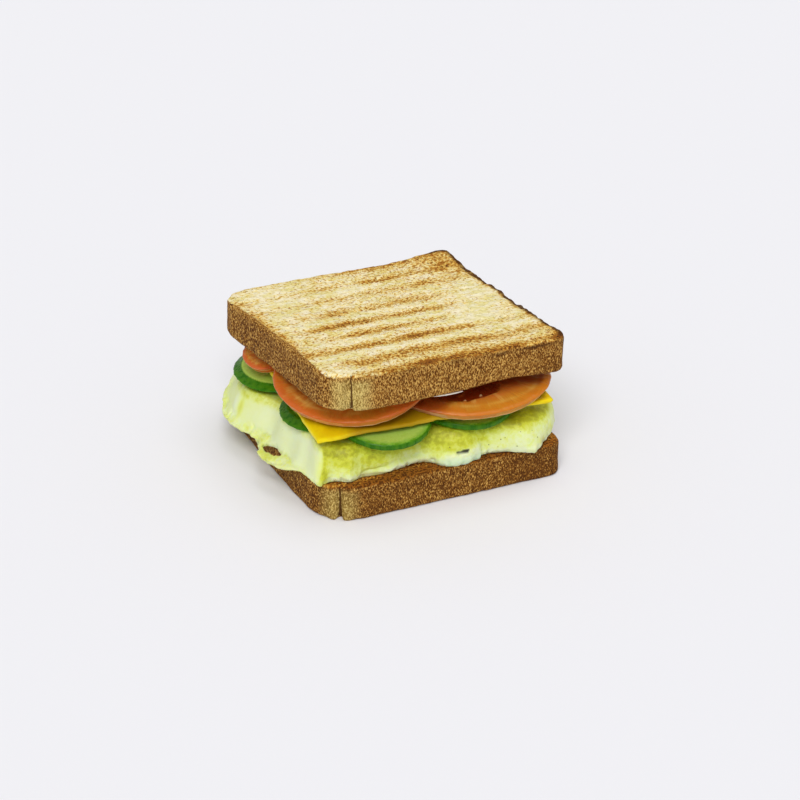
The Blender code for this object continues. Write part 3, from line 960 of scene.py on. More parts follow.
@dataclass
class ToastSlice:
    """A slice of toast: its place, outline and what is particular about it. Lengths in metres."""

    node: str
    name: str
    centre: tuple[float, float, float]
    lean: tuple[float, float, float]
    width: float
    crack_degrees: float
    seed: int
    bands: tuple[Band, ...]
    patches: tuple[Patch, ...]
    base_browning: float
    creases: tuple[tuple[float, float, float], ...] = ()
    crust_shade: float = 0.0
    husk: float = 1.0
    husk_reach: float = 12.0
    crack_lips: float = 0.0008
    left_shade: float = -0.08
    worn_rim: float = -9.0
    right_rim_bumps: float = 0.0
    scorch: float = 0.0
    faint_share: float = 0.25
    pit_spacing: float = 0.0042
    pit_depth: float = 0.0004
    crack_depth: float = 0.0014
    crease_depth: float = 0.0009
    depth: float = 0.1064
    thickness: float = 0.0156
    corner: float = 0.0175
    cell: float = 0.0006

    @property
    def turned(self) -> Array:
        """How the slice is turned in the frame, as a matrix."""
        return np.array(Euler(self.lean, "ZYX").to_matrix())

    def local(self, points: Array) -> Array:
        """Points as seen from the slice: its upper face is z = 0."""
        return (points - np.array(self.centre) - np.array(MARK)) @ self.turned

    def framed(self, points: Array) -> Array:
        """Points of the slice, as points of the frame."""
        return points @ self.turned.T + np.array(self.centre) + np.array(MARK)

    def level(self, facing: Array) -> Array:
        """How far each point belongs to a toasted face and not to the crust, by how it faces."""
        upward = (facing @ self.turned)[:, 2]
        return np.maximum(soft(upward, 0.60, 0.88), soft(upward, -0.90, -0.99))

    def edge_distance(self, place: Array) -> Array:
        """How far inside the slice's outline a point is, seen from above.

        Args:
            place: Points as seen from the slice.

        Returns:
            Distances in metres.
        """
        inner = np.array([self.width / 2 - 0.006, self.depth / 2 - 0.006])
        beyond = np.abs(place[:, :2]) - inner
        outside = np.linalg.norm(np.maximum(beyond, 0.0), axis=1)
        return 0.006 - outside - np.minimum(beyond.max(axis=1), 0.0)

    def browning(self, place: Array, noise: Variation) -> Array:
        """How brown the toasted faces are.

        Args:
            place: Points as seen from the slice.
            noise: What bends and breaks the bands.

        Returns:
            A value from about 0 to 1 for each point.
        """
        x, y = place[:, 0] / MM, place[:, 1] / MM
        flat = place * np.array([1.0, 1.0, 0.0])
        wander = 1.3 * noise.at(flat, 0.018) + 0.9 * noise.at(flat + 0.1, 0.0050, 2)
        broken = 0.84 + 0.70 * noise.at(flat, 0.0060, 3, (1.8, 1.0, 1.0))
        level = self.base_browning + 0.12 * noise.at(flat + 0.3, 0.020, 2)
        for band in self.bands:
            along = soft(x, band.start - 8.0, band.start + 8.0) * soft(x, band.end + 8.0, band.end - 8.0)
            along = self.faint_share + (1.0 - self.faint_share) * along
            level = level + 1.15 * band.amount * along * broken * hump(y + wander, band.y, band.half_width)
        for patch in self.patches:
            level = level + patch.at(x, y)
        return level

    def crack(self, place: Array) -> tuple[Array, Array]:
        """The crack in the crust at the front-left corner.

        Args:
            place: Points as seen from the slice.

        Returns:
            Signed distance from the crack in millimetres, and how near a point is to its stretch
            of the crust.
        """
        middle = np.array([self.corner - self.width / 2, self.corner - self.depth / 2])
        out, off = along_and_across(*(place[:, :2] - middle).T, math.radians(self.crack_degrees))
        return off / MM, soft(out, 0.80 * self.corner, 0.92 * self.corner)

    def shape(self) -> tuple[Skin, Array, Array]:
        """Draws the slice and gives it its bumps, crack and pits.

        Returns:
            The skin, where each of its points was on the plain slice, and the way it faced.
        """
        skin = Skin(self.node, self.name, self.cell)
        place = self.local(skin.points)
        noise, pits = Variation(self.seed), Scatter(self.seed)
        edge = self.edge_distance(place)
        facing = skin.normals(3)
        side = 1.0 - self.level(facing)
        brown = self.browning(place, noise)
        crumb = 0.00018 * noise.at(place, 0.0024, 2) + 0.00030 * noise.at(place, 0.017)
        crumb = crumb - 0.00060 * (brown - self.base_browning)
        crumb = crumb - self.pit_depth * soft(pits.distance(place, self.pit_spacing), 0.34, 0.10)
        crust = 0.00040 * noise.at(place, 0.011, 2)
        crust = crust + 0.00016 * noise.at(place, 0.0024, 2, (1.0, 1.0, 2.2))
        rim = hump(edge / MM, 0.6, 1.2) * soft(place[:, 2], -0.0035, -0.0005)
        crust = crust + 0.00045 * noise.at(place, 0.0052, 2) * rim
        skin.push(crumb * (1.0 - side) + crust * side, facing)
        off, near = self.crack(place)
        low = soft(place[:, 2], -0.0015, -self.thickness)
        groove = 0.45 + 0.45 * low
        cut = hump(off / groove, 0.0, 1.0) * (0.30 + 0.70 * low)
        skin.push(-self.crack_depth * cut * near, facing)
        skin.push(self.crack_lips * (hump(off, 3.4, 2.2) + hump(off, -3.0, 2.0)) * near * low, facing)
        for x, top, bottom in self.creases:
            down = soft(place[:, 2], top, top - 0.002) * soft(place[:, 2], bottom - 0.002, bottom)
            front = soft(place[:, 1], -0.045, -0.050)
            skin.push(-self.crease_depth * hump(place[:, 0], x, 0.0006) * down * front, facing)
        if self.right_rim_bumps:
            rim = soft(place[:, 0], self.width / 2 - 0.0040, self.width / 2 - 0.0008)
            upper = soft(place[:, 2], -0.0050, -0.0010)
            row = place * np.array([0.0, 1.0, 0.0])
            waves = 0.8 * noise.at(row, 0.0036, 2) + 0.8 * noise.at(row + 0.2, 0.0110)
            away = self.turned @ np.array([0.75, 0.0, 0.66])
            skin.push(self.right_rim_bumps * rim * upper * waves, away)
        skin.points[:, 2] = np.maximum(skin.points[:, 2], 0.0)
        return skin, place, facing

    def rim_depth(self, place: Array, facing: Array, noise: Variation) -> Array:
        """How far down the crust a point is, less where the left rim is worn to the crumb.

        Args:
            place: Points as seen from the slice.
            facing: The way that the surface faces there.
            noise: What makes the edge of the crust ragged.

        Returns:
            Depths in millimetres, 0 or less on the toasted faces.
        """
        from_face = np.minimum(-place[:, 2], place[:, 2] + self.thickness + 0.0012) / MM
        worn = self.worn_rim * (1.0 - (place[:, 1] / (self.depth / 2)) ** 2)
        from_left = place[:, 0] / MM + self.width / MM / 2 + 0.6 * noise.at(place + 0.8, 0.006, 2)
        return from_face * (1.0 - self.level(facing)) + 1.6 * soft(from_left, worn + 1.2, worn - 0.4)

    def scorched(self, place: Array, noise: Variation) -> Array:
        """Where the slice is burnt: its front-right rim, and lines along the front.

        Args:
            place: Points as seen from the slice.
            noise: What breaks the burnt places up.

        Returns:
            Shares from 0 to nearly 1.
        """
        x, y, z = (place / MM).T
        front = soft(y, -49.0, -52.0)
        inward = self.edge_distance(place) / MM + 0.8 * noise.at(place + 0.6, 0.005, 2)
        rim = soft(inward, 2.9, 1.2) * soft(x, 43.0, 50.0) * soft(y, -53.0, -48.0) * soft(z, -4.5, -1.5)
        rim = rim * (1.25 + 0.9 * noise.at(place, 0.0045, 2))
        line = hump(z, -1.9, 0.6) * front * soft(x, 10.0, 22.0) * (0.55 + 0.9 * noise.at(place, 0.006, 2))
        spots = hump(z, -1.2, 0.9) * front * soft(x, 16.0, 4.0)
        spots = 0.5 * spots * soft(noise.at(place + 0.4, 0.0045, 2), 0.0, 0.5)
        return np.clip(self.scorch * (rim + line + spots), 0.0, 0.92)

    def build(self, material: bpy.types.Material) -> bpy.types.Object:
        """Builds and dresses the slice.

        Args:
            material: What the slice wears.

        Returns:
            The finished slice.
        """
        skin, place, facing = self.shape()
        noise = Variation(self.seed + 1)
        off, near = self.crack(place)
        x, y, z = (place / MM).T
        tone = 0.50 + self.crust_shade + 0.10 * noise.at(place, 0.012, 2)
        tone = tone + 0.08 * soft(z, -5.0, -0.5) - 0.10 * soft(x, 15.0, 54.0)
        tone = tone + self.left_shade * soft(x, -52.0, -54.5) * soft(y, -48.0, -36.0)
        husk = near * soft(np.abs(off), self.husk_reach, 0.3 * self.husk_reach) * soft(z, -0.3, -4.0)
        husk = husk * (0.95 + 0.35 * noise.at(place, 0.005, 2))
        skin.masks(
            slice_place=place,
            browning=self.browning(place, Variation(self.seed)),
            rim_depth=self.rim_depth(place, facing, noise),
            crust_tone=tone,
            husk=np.clip(husk * self.husk, 0.0, 1.0),
            scorch=self.scorched(place, noise),
            crack_off=off,
            # Width of the painted shade inside the crack.
            crack_breadth=near * soft(z, 0.3, -1.0) * (0.46 + 0.40 * soft(z, -7.0, -15.0)),
        )
        return skin.finish(material, "toast")


# Omelette

# Yolk patches in millimetres: the front ridge's yellow, painted shade below the left curl, a painted
# highlight on the curl, and painted shade under the left cucumber's rind.
YOLK_PATCHES = (
    Patch(-48.2, -43.5, 2.6, 3.4, 0.36),
    Patch(-57.6, 22.4, 1.8, 1.6, 0.34),
    Patch(-57.9, 26.6, 1.8, 2.2, -0.26),
    Patch(-50.2, 18.5, 3.0, 4.0, 0.24),
)
# Front patches: the yellow of a drip, and painted shade below the right front cucumber.
FRONT_YOLK_PATCHES = (Patch(43.7, 15.0, 2.0, 3.0, 0.30), Patch(21.3, 24.0, 4.2, 2.6, 0.50))


@dataclass
class Omelette:
    """The folded omelette, with its lumps, torn hem, flap and creases. Lengths in metres."""

    node: str = "omelette"
    cell: float = 0.00062
    hole_depth: float = 0.0015
    flap_lift: float = 0.0016

    @staticmethod
    def flap(x: Array, y: Array, z: Array) -> tuple[Array, Array]:
        """The thin flap that hangs over the front, and the slit above it, in millimetres.

        Args:
            x: Places across.
            y: Places from front to back.
            z: Heights.

        Returns:
            How far each point belongs to the flap, and to the slit.
        """
        front = soft(y, -38.0, -44.0)
        top = 21.0 + 0.22 * (x - 8.0)
        flap = soft(x, -1.0, 8.0) * soft(x, 21.4, 20.6) * soft(z, top + 0.8, top - 0.8) * front
        line = 21.3 + 0.13 * (x - 9.4)
        slit = soft(x, 8.4, 11.4) * soft(x, 15.8, 12.8) * front
        slit = np.minimum(1.0, 1.6 * slit) * hump(z, line - 0.1, 0.50)
        return flap, slit

    def shape(self) -> tuple[Skin, Array, Array]:
        """Draws the omelette and shapes it.

        Returns:
            The skin, where each point was on the plain solid, and the way it faced.
        """
        skin = Skin(self.node, "folded_omelette", self.cell, relax=3)
        place = skin.points.copy()
        noise = Variation(41)
        facing = skin.normals(6)
        x, y, z = marked(place)
        left = soft(facing[:, 0], -0.30, -0.65) * soft(x, -43.0, -47.0)
        side = soft(np.abs(facing[:, 2]), 0.98, 0.80)
        shown = np.clip(side + 0.4 * soft(z, 19.0, 24.0), 0.0, 1.0) * (1.0 - 0.85 * left)
        lumps = 0.00100 * noise.at(place, 0.0150) + 0.00045 * noise.at(place + 0.1, 0.0062)
        lumps = lumps + 0.00027 * noise.at(place, 0.0028, 2)
        skin.push(lumps * shown, facing)
        front = soft(y, -38.0, -43.0)
        hem = soft(z, 19.5, 17.5) * side
        along = place * np.array([1.0, 1.0, 0.35])
        ragged = 0.00060 * noise.at(along, 0.0042, 2) + 0.00035 * noise.at(along + 0.2, 0.0018, 2)
        tears = soft(np.abs(noise.at(along + 0.5, 0.0060, 2)), 0.16, 0.0)
        tears = tears * soft(noise.at(place + 0.9, 0.012, 2), -0.10, 0.30)
        tears = tears * (1.0 - 0.7 * hump(x, 14.0, 9.0))
        skin.push((ragged - 0.0011 * tears) * hem, facing)
        fold = front * soft(x, -34.0, -26.0) * soft(x, 2.0, -4.0)
        fold_at = 19.6 + 1.2 * noise.at(place * np.array([1.0, 0.0, 0.0]), 0.012)
        skin.push(-0.0008 * fold * hump(z, fold_at, 0.9), facing)
        skin.push(0.0006 * fold * hump(z, fold_at - 2.0, 1.2), facing)
        flap, slit = self.flap(x, y, z)
        skin.push(self.flap_lift * flap - self.hole_depth * slit, facing)
        curl = hump(x, -57.9, 1.8) * hump(y, 26.4, 2.4) * soft(z, 18.0, 20.5)
        skin.push(0.0016 * curl, facing)
        ridge = hump(x + 0.25 * (z - 20.0), -49.0, 1.8) * soft(y, -37.0, -42.0)
        skin.push(0.0008 * ridge * soft(z, 15.0, 18.0), facing)
        drip = hump(x, 43.7, 1.6) * hump(z, 16.0, 2.4) * front
        skin.push(0.0012 * drip, facing)
        skin.round_over(left * soft(z, 18.5, 21.0) * soft(z, 31.0, 29.0), 60)
        skin.round_over(front * soft(z, 21.0, 23.5) * (1.0 - slit), 25)
        return skin, place, facing

    @staticmethod
    def front_yolk(x: Array, z: Array) -> Array:
        """How much yellower or paler the front is than the rest, from its left end to its right; its rise
        towards the top is painted olive shade under the cheese and cucumbers.

        Args:
            x: Places across, in millimetres.
            z: Heights, in millimetres.

        Returns:
            What it adds to the share of yolk and painted shade.
        """
        upper = soft(z, 19.5, 26.0)
        yolk = soft(x, 4.0, -6.0) * soft(x, -50.0, -41.0) * (-0.02 + 0.36 * upper)
        yolk = yolk + soft(x, -6.0, 4.0) * soft(x, 22.0, 12.0) * (0.02 + 0.29 * upper)
        yolk = yolk + soft(x, 12.0, 24.0) * (-0.22 + 0.52 * soft(z, 24.0, 29.0))
        return yolk + (0.22 + 0.16 * soft(x, -30.0, -36.0)) * soft(z, 26.5, 29.5)

    def build(self, material: bpy.types.Material) -> bpy.types.Object:
        """Builds and dresses the omelette.

        Args:
            material: What the omelette wears.

        Returns:
            The finished omelette.
        """
        skin, place, facing = self.shape()
        noise = Variation(42)
        x, y, z = marked(place)
        left = soft(facing[:, 0], -0.25, -0.60) * soft(x, -43.0, -47.0)
        hem = soft(z, 19.6, 17.6) * soft(np.hypot(facing[:, 0], facing[:, 1]), 0.2, 0.5)
        front = soft(y, -37.0, -42.0) * (1.0 - left)
        flap, slit = self.flap(x, y, z)
        cloud = noise.at(place, 0.013, 2)
        # The yolk share also paints shade: it rises towards the top, under the cucumbers and cheese.
        yolk = 0.42 + 0.14 * cloud + front * self.front_yolk(x, z)
        yolk = yolk + 0.14 * soft(z, 26.5, 30.0) * (1.0 - left) * (1.0 - front)
        top = 30.0 - 0.052 * (y + 40.0)
        facet = left * soft(z, 16.5, 19.0) * soft(z, top + 1.2, top - 1.2)
        yolk = yolk * (1.0 - facet) + facet * (0.07 + 0.05 * cloud + 0.16 * soft(y, 6.0, 22.0))
        yolk = yolk - 0.14 * left * soft(z, 19.0, 16.5) - 0.26 * hem * front - 0.30 * flap
        for patch in YOLK_PATCHES:
            yolk = yolk + patch.at(x, y)
        for patch in FRONT_YOLK_PATCHES:
            yolk = yolk + patch.at(x, z) * front
        stain = 0.5 * hump(x, 48.5, 1.6) * hump(z, 18.5, 2.2) * soft(y, -43.0, -47.0)
        stain = stain + 0.30 * soft(noise.at(place + 0.2, 0.008, 2), 0.40, 0.75) * hem
        skin.masks(
            egg_place=place,
            yolk=np.clip(yolk, 0.0, 1.0),
            mottle=1.0 - 0.80 * facet,
            stain=np.clip(stain, 0.0, 0.9),
            # The slit is painted near black: painted shade inside it.
            slit=0.98 * soft(slit, 0.26, 0.50),
            mint=0.75 * flap * soft(z, 20.5, 17.5),
        )
        return skin.finish(material, "omelette")


# Round slices

@dataclass
class RoundSlice:
    """What a slice of cucumber and one of tomato share. Lengths in metres, in the frame."""

    node: str
    centre: tuple[float, float]
    radius: float
    seed: int
    cell: float = 0.0005
    sectors: int = 72
    seed_paleness: float = 0.55

    def skin(self) -> Skin:
        """Draws the slice over its solid."""
        return Skin(self.node, self.node + "_slice", self.cell, relax=9)

    def shares(self, points: Array) -> tuple[Array, Array, Array]:
        """Place in the slice: its two shares of the radius, and how far out a point is."""
        aside = points[:, :2] - np.array(self.centre) - np.array(MARK[:2])
        u, v = aside.T / self.radius
        return u, v, np.hypot(u, v)

    def rim_share(self, u: Array, v: Array, out: Array) -> Array:
        """How far out a point is, as a share of how far the outline reaches in its direction.

        Args:
            u: The point's first share of the radius.
            v: Its second.
            out: How far out it is.

        Returns:
            Shares, 1 at the outline.
        """
        turn = (np.arctan2(v, u) + math.pi) / math.tau * self.sectors
        reach = np.zeros(self.sectors)
        np.maximum.at(reach, np.floor(turn).astype(int) % self.sectors, out)
        reach = (np.roll(reach, 1) + reach + np.roll(reach, -1)) / 3.0
        before = np.floor(turn - 0.5).astype(int)
        share = turn - 0.5 - before
        near, far = reach[before % self.sectors], reach[(before + 1) % self.sectors]
        return out / (near * (1.0 - share) + far * share)


@dataclass
class CucumberSlice(RoundSlice):
    """A slice of cucumber. Its seeds' sizes are shares of its radius."""

    seeds: int = 26
    seed_length: float = 0.085
    seed_width: float = 0.032
    seed_rise: float = 0.0001
    rind_from: float = 0.966
    rind_fade: float = 0.019

    def seed_field(self, u: Array, v: Array) -> Array:
        """The ring of seeds.

        Args:
            u: Each point's first share of the radius.
            v: Its second.

        Returns:
            How far each point is on a seed, from 0 to 1.
        """
        rng = np.random.default_rng(self.seed)
        seed = np.zeros_like(u)
        for k in range(self.seeds):
            angle = math.tau * (k + rng.uniform(-0.35, 0.35)) / self.seeds
            reach = rng.uniform(0.30, 0.62)
            along, across = along_and_across(u, v, angle)
            away = np.hypot((along - reach) / self.seed_length, across / self.seed_width)
            seed = np.maximum(seed, soft(away, 1.1, 0.6))
        return seed

    def build(self, material: bpy.types.Material) -> bpy.types.Object:
        """Builds and dresses the slice.

        Args:
            material: What the slice wears.

        Returns:
            The finished slice.
        """
        skin = self.skin()
        u, v, out = self.shares(skin.points)
        facing = skin.normals(2)
        level = soft(np.abs(facing[:, 2]), 0.72, 0.93)
        edge = self.rim_share(u, v, out)
        seed = self.seed_field(u, v) * level
        waves = 0.00012 * Variation(self.seed).at(skin.points, 0.004, 2) * level
        skin.push(waves + self.seed_rise * seed, facing)
        band = soft(edge, self.rind_from, self.rind_from + self.rind_fade)
        skin.masks(
            slice_place=flat(u, v),
            radius_share=edge,
            seed=self.seed_paleness * seed,
            rind=np.maximum(1.0 - level, band) * soft(edge, 0.72, 0.80),
        )
        return skin.finish(material, "cucumber")


@dataclass
class TomatoSlice(RoundSlice):
    """A slice of tomato, with its pockets of seed as (u, v, half length, half width, degrees), the
    beads of juice on it as (x, y), and where its rim is uneven as (degrees, spread, out, down) in
    millimetres. Its seeds' sizes are shares of its radius."""

    pockets: tuple[tuple[float, float, float, float, float], ...] = ()
    seeds: int = 5
    seed_length: float = 0.050
    seed_width: float = 0.028
    seed_rise: float = 0.0005
    pocket_depth: float = 0.0008
    bead_rise: float = 0.0009
    slant: float = 0.0026
    unripe: float = 0.15
    # How strongly the painted shade under the top toast shows.
    ruddy: float = 0.0
    beads: tuple[tuple[float, float], ...] = ()
    nudges: tuple[tuple[float, float, float, float], ...] = ()

    def pocket_field(self, u: Array, v: Array, noise: Variation) -> tuple[Array, Array]:
        """The pockets and the seeds that lie in them.

        Args:
            u: Each point's first share of the radius.
            v: Its second.
            noise: What makes the pockets ragged.

        Returns:
            How deep in a pocket each point is, and how far it is on a seed, from 0 to 1.
        """
        rng = np.random.default_rng(self.seed)
        pocket, seed = np.zeros_like(u), np.zeros_like(u)
        ragged = 0.20 * noise.at(flat(u, v), 0.20, 2)
        for at_u, at_v, long, wide, degrees in self.pockets:
            along, across = along_and_across(u - at_u, v - at_v, math.radians(degrees))
            inward = np.hypot(along / long, across / wide) + ragged
            pocket = np.maximum(pocket, soft(inward, 1.10, 0.84))
            for _ in range(self.seeds):
                spot, turn = rng.uniform(-0.62, 0.62, 2), rng.uniform(0.0, math.pi)
                first, second = along_and_across(along - spot[0] * long, across - spot[1] * wide, turn)
                away = np.hypot(first / self.seed_length, second / self.seed_width)
                seed = np.maximum(seed, soft(away, 1.15, 0.55))
        return pocket, seed * pocket

    def settle(self, skin: Skin, u: Array, v: Array, facing: Array) -> Array:
        """Raises the beads of juice, wears the rim round and bends it where it is uneven.

        Args:
            skin: The slice's mesh.
            u: Each point's first share of the radius.
            v: Its second.
            facing: The way that the surface faces there.

        Returns:
            How far each point belongs to the painted highlight on a bead.
        """
        height, out = facing[:, 2], np.hypot(u, v)
        edge = self.rim_share(u, v, out)
        upper = soft(height, 0.5, 0.9)
        glint = np.zeros_like(u)
        for bead in self.beads:
            away = np.linalg.norm(skin.points[:, :2] - np.array(bead) - np.array(MARK[:2]), axis=1) / MM
            skin.push(self.bead_rise * soft(away, 1.2, 0.0) * upper, facing)
            # The glint is a painted highlight on the bead.
            glint = np.maximum(glint, 0.85 * soft(away, 0.80, 0.35) * upper)
        skin.round_over(soft(height, -0.30, 0.15) * soft(edge, 0.86, 0.92), 30)
        for degrees, spread, outward, down in self.nudges:
            turn = (np.degrees(np.arctan2(v, u)) - degrees + 180.0) % 360.0 - 180.0
            share = hump(turn, 0.0, spread) * soft(edge, 0.35, 0.98) * MM
            aside = np.column_stack([u * outward, v * outward, -down * out])
            skin.push(share / np.maximum(out, 0.1), aside)
        return glint

    def build(self, material: bpy.types.Material) -> bpy.types.Object:
        """Builds and dresses the slice.

        Args:
            material: What the slice wears.

        Returns:
            The finished slice.
        """
        skin = self.skin()
        u, v, out = self.shares(skin.points)
        facing = skin.normals(2)
        noise = Variation(self.seed)
        edge = self.rim_share(u, v, out)
        height = facing[:, 2]
        level = soft(np.abs(height), 0.30, 0.75)
        glint = self.settle(skin, u, v, facing)
        pocket, seed = self.pocket_field(u, v, noise)
        pocket, seed = pocket * level, seed * level
        skin.push(self.seed_rise * seed - self.pocket_depth * pocket, facing)
        waves = 0.00022 * noise.at(skin.points, 0.0045, 2) + 0.00030 * noise.at(skin.points, 0.012)
        skin.push(waves * level * soft(edge, 1.0, 0.9), facing)
        angle = np.arctan2(v, u)
        # ridge: a painted highlight, a broken pale streak along a ring of flesh near the rim
        ridge = hump(edge + 0.03 * noise.at(skin.points, 0.010), 0.845, 0.022) * level * (1.0 - pocket)
        broken = np.clip(0.30 + 0.9 * noise.at(skin.points + 0.3, 0.007, 2), 0.0, 0.8)
        ripening = noise.at(skin.points, 0.014)
        lower_edge = hump(edge, 1.0 - self.slant / self.radius, 0.014) * soft(height, 0.0, -0.2)
        lowest = -0.42 - 0.43 * soft(-facing[:, 1], 0.3, 0.8)
        under = 0.48 * hump(height, lowest, 0.14) * soft(edge, 0.90, 0.95)
        # Painted shade: darker red where the slice lies under the top toast's front edge, wider towards the
        # left.
        shade = soft(v + 0.16 * soft(u, -0.30, -0.58) + 0.10 * ripening, -0.72, -0.56)
        shade = shade * (1.0 - soft(u, 0.2, 0.5) * soft(edge, 0.88, 0.94)) * soft(v, -0.2, -0.4)
        skin.masks(
            slice_place=flat(u, v),
            ray_place=np.column_stack([3.0 * np.cos(angle), 3.0 * np.sin(angle), 0.8 * out]),
            radius_share=edge,
            ridge=ridge * broken,
            pocket=pocket,
            seed=self.seed_paleness * seed,
            # rim: the pale line along the lower rim, and the painted highlights on the beads
            rim=np.maximum(0.85 * lower_edge, under + glint),
            ruddy=self.ruddy * shade,
            skin=soft(height, 0.60, -0.10) * soft(edge, 0.80, 0.90),
            unripe=np.clip(self.unripe + 0.18 * ripening, 0.0, 1.0) * soft(edge, 0.70, 0.86),
        )
        return skin.finish(material, "tomato")


CUCUMBERS = (
    CucumberSlice("cucumber_right_front", (0.02245, -0.03002), 0.0208, 11),
    CucumberSlice("cucumber_left_front", (-0.02955, -0.01052), 0.0228, 12, rind_from=0.70),
    CucumberSlice("cucumber_back_right", (0.03745, 0.03798), 0.0186, 13),
    CucumberSlice("cucumber_right", (0.03795, 0.00398), 0.0190, 14),
    CucumberSlice("cucumber_front", (-0.01555, -0.03152), 0.0206, 15),
    CucumberSlice("cucumber_left_back", (-0.03405, 0.02878), 0.0226, 16, rind_from=0.83),
    CucumberSlice("cucumber_back", (0.00295, 0.03898), 0.0180, 17),
)
TOMATOES = (
    TomatoSlice("tomato_back_right", (0.03545, 0.03998), 0.0210, 21,
                pockets=((0.4, 0.45, 0.24, 0.15, 50.0), (0.55, -0.2, 0.24, 0.14, -20.0),
                         (-0.3, 0.5, 0.24, 0.14, 120.0))),
    TomatoSlice("tomato_right", (0.02475, -0.01992), 0.0372, 22,
                pockets=((-0.20, -0.48, 0.42, 0.24, 6.0), (0.62, -0.10, 0.24, 0.14, 80.0),
                         (0.30, 0.52, 0.26, 0.16, 150.0), (-0.50, 0.30, 0.26, 0.15, 50.0)),
                unripe=0.45, ruddy=0.80,
                nudges=((-148.0, 24.0, 0.0, 1.4), (-45.0, 25.0, 2.6, 0.9)),
                beads=((0.0151, -0.0458), (0.0231, -0.0442))),
    TomatoSlice("tomato_left_back", (-0.03975, 0.02438), 0.0150, 23, unripe=0.24,
                nudges=((-108.0, 24.0, -4.5, -0.3),),
                pockets=((0.3, 0.4, 0.26, 0.16, 50.0), (0.2, -0.5, 0.24, 0.15, -60.0))),
    TomatoSlice("tomato_left_front", (-0.01985, -0.01442), 0.0350, 24, unripe=0.22,
                pockets=((0.35, 0.35, 0.26, 0.16, 45.0), (-0.35, 0.35, 0.26, 0.16, 135.0),
                         (0.45, -0.25, 0.22, 0.14, -30.0))),
)


# Cheese, sauce and pepper

@dataclass
class CheeseSlice:
    """The square slice of cheese, with softened edges."""

    node: str = "cheese_slice"
    cell: float = 0.0007
    waviness: float = 0.00018
    corner_sag: float = 0.0013

    def build(self, material: bpy.types.Material) -> bpy.types.Object:
        """Builds and dresses the slice.

        Args:
            material: What the slice wears.

        Returns:
            The finished slice.
        """
        skin = Skin(self.node, "square_cheese_slice", self.cell, relax=3)
        place = skin.points.copy()
        skin.push(self.waviness * Variation(31).at(place, 0.010, 2), skin.normals(2))
        x, y, _ = marked(place)
        sag = self.corner_sag * soft(x, 34.0, 54.0) * soft(y, -24.0, -48.0)
        skin.push(sag, np.array([0.0, 0.0, -1.0]))
        noise = Variation(32)
        # Painted shade: darker and more orange where the cheese lies under the front tomatoes.
        wet = soft(y + 1.5 * noise.at(place, 0.009, 2), -50.0, -45.0) * soft(np.abs(x), 42.0, 31.0)
        skin.masks(soaked=0.8 * wet, cheese_place=place)
        return skin.finish(material, "cheese")


def loose_piece(name: str, build: bmesh.types.BMesh, material: bpy.types.Material) -> bpy.types.Object:
    """Makes a piece that stands for no solid of its own.

    Args:
        name: The piece's name.
        build: Its mesh, which is used up.
        material: What it wears.

    Returns:
        The piece.
    """
    mesh = bpy.data.meshes.new(name)
    build.to_mesh(mesh)
    build.free()
    mesh.shade_smooth()
    mesh.materials.append(material)
    body = put_in_scene(name, mesh)
    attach(body, "root")
    LOG.info("%s: %d faces", name, len(mesh.polygons))
    return body


@dataclass
class SauceLip:
    """The thin lip of white sauce under the top toast. Lengths in metres, as seen from the toast."""

    start: Triple = (-0.0095, -0.0500, -0.0160)
    end: Triple = (0.0065, -0.0519, -0.0159)
    reach: float = 0.0034
    thickness: float = 0.0010
    swelling: float = 0.40
    steps: int = 44
    sides: int = 14

    def build(self, lid: ToastSlice, material: bpy.types.Material) -> bpy.types.Object:
        """Builds and dresses the lip.

        Args:
            lid: The slice of toast that it clings to.
            material: What it wears.

        Returns:
            The finished lip.
        """
        start, end = np.array(self.start), np.array(self.end)
        shares = np.linspace(0.0, 1.0, self.steps + 1)
        swell = 1.0 + self.swelling * Variation(51).at(flat(shares * 0.02, 0.0 * shares), 0.003, 2)
        angles = np.arange(self.sides) * math.tau / self.sides
        out, up = 0.5 * self.reach * np.cos(angles), 0.5 * self.thickness * np.sin(angles)
        build = bmesh.new()
        rings = []
        for share, grown in zip(shares, swell):
            taper = math.sin(math.pi * (0.03 + 0.94 * share)) ** 0.7
            ring = np.column_stack([0.0 * angles, out * taper, up * taper * grown])
            spots = lid.framed(start + share * (end - start) + ring)
            rings.append([build.verts.new(spot) for spot in spots])
        for near, far in zip(rings, rings[1:]):
            for k in range(self.sides):
                after = (k + 1) % self.sides
                build.faces.new((near[k], far[k], far[after], near[after]))
        build.faces.new(rings[0][::-1])
        build.faces.new(rings[-1])
        bmesh.ops.recalc_face_normals(build, faces=build.faces)
        return loose_piece("sauce_lip", build, material)


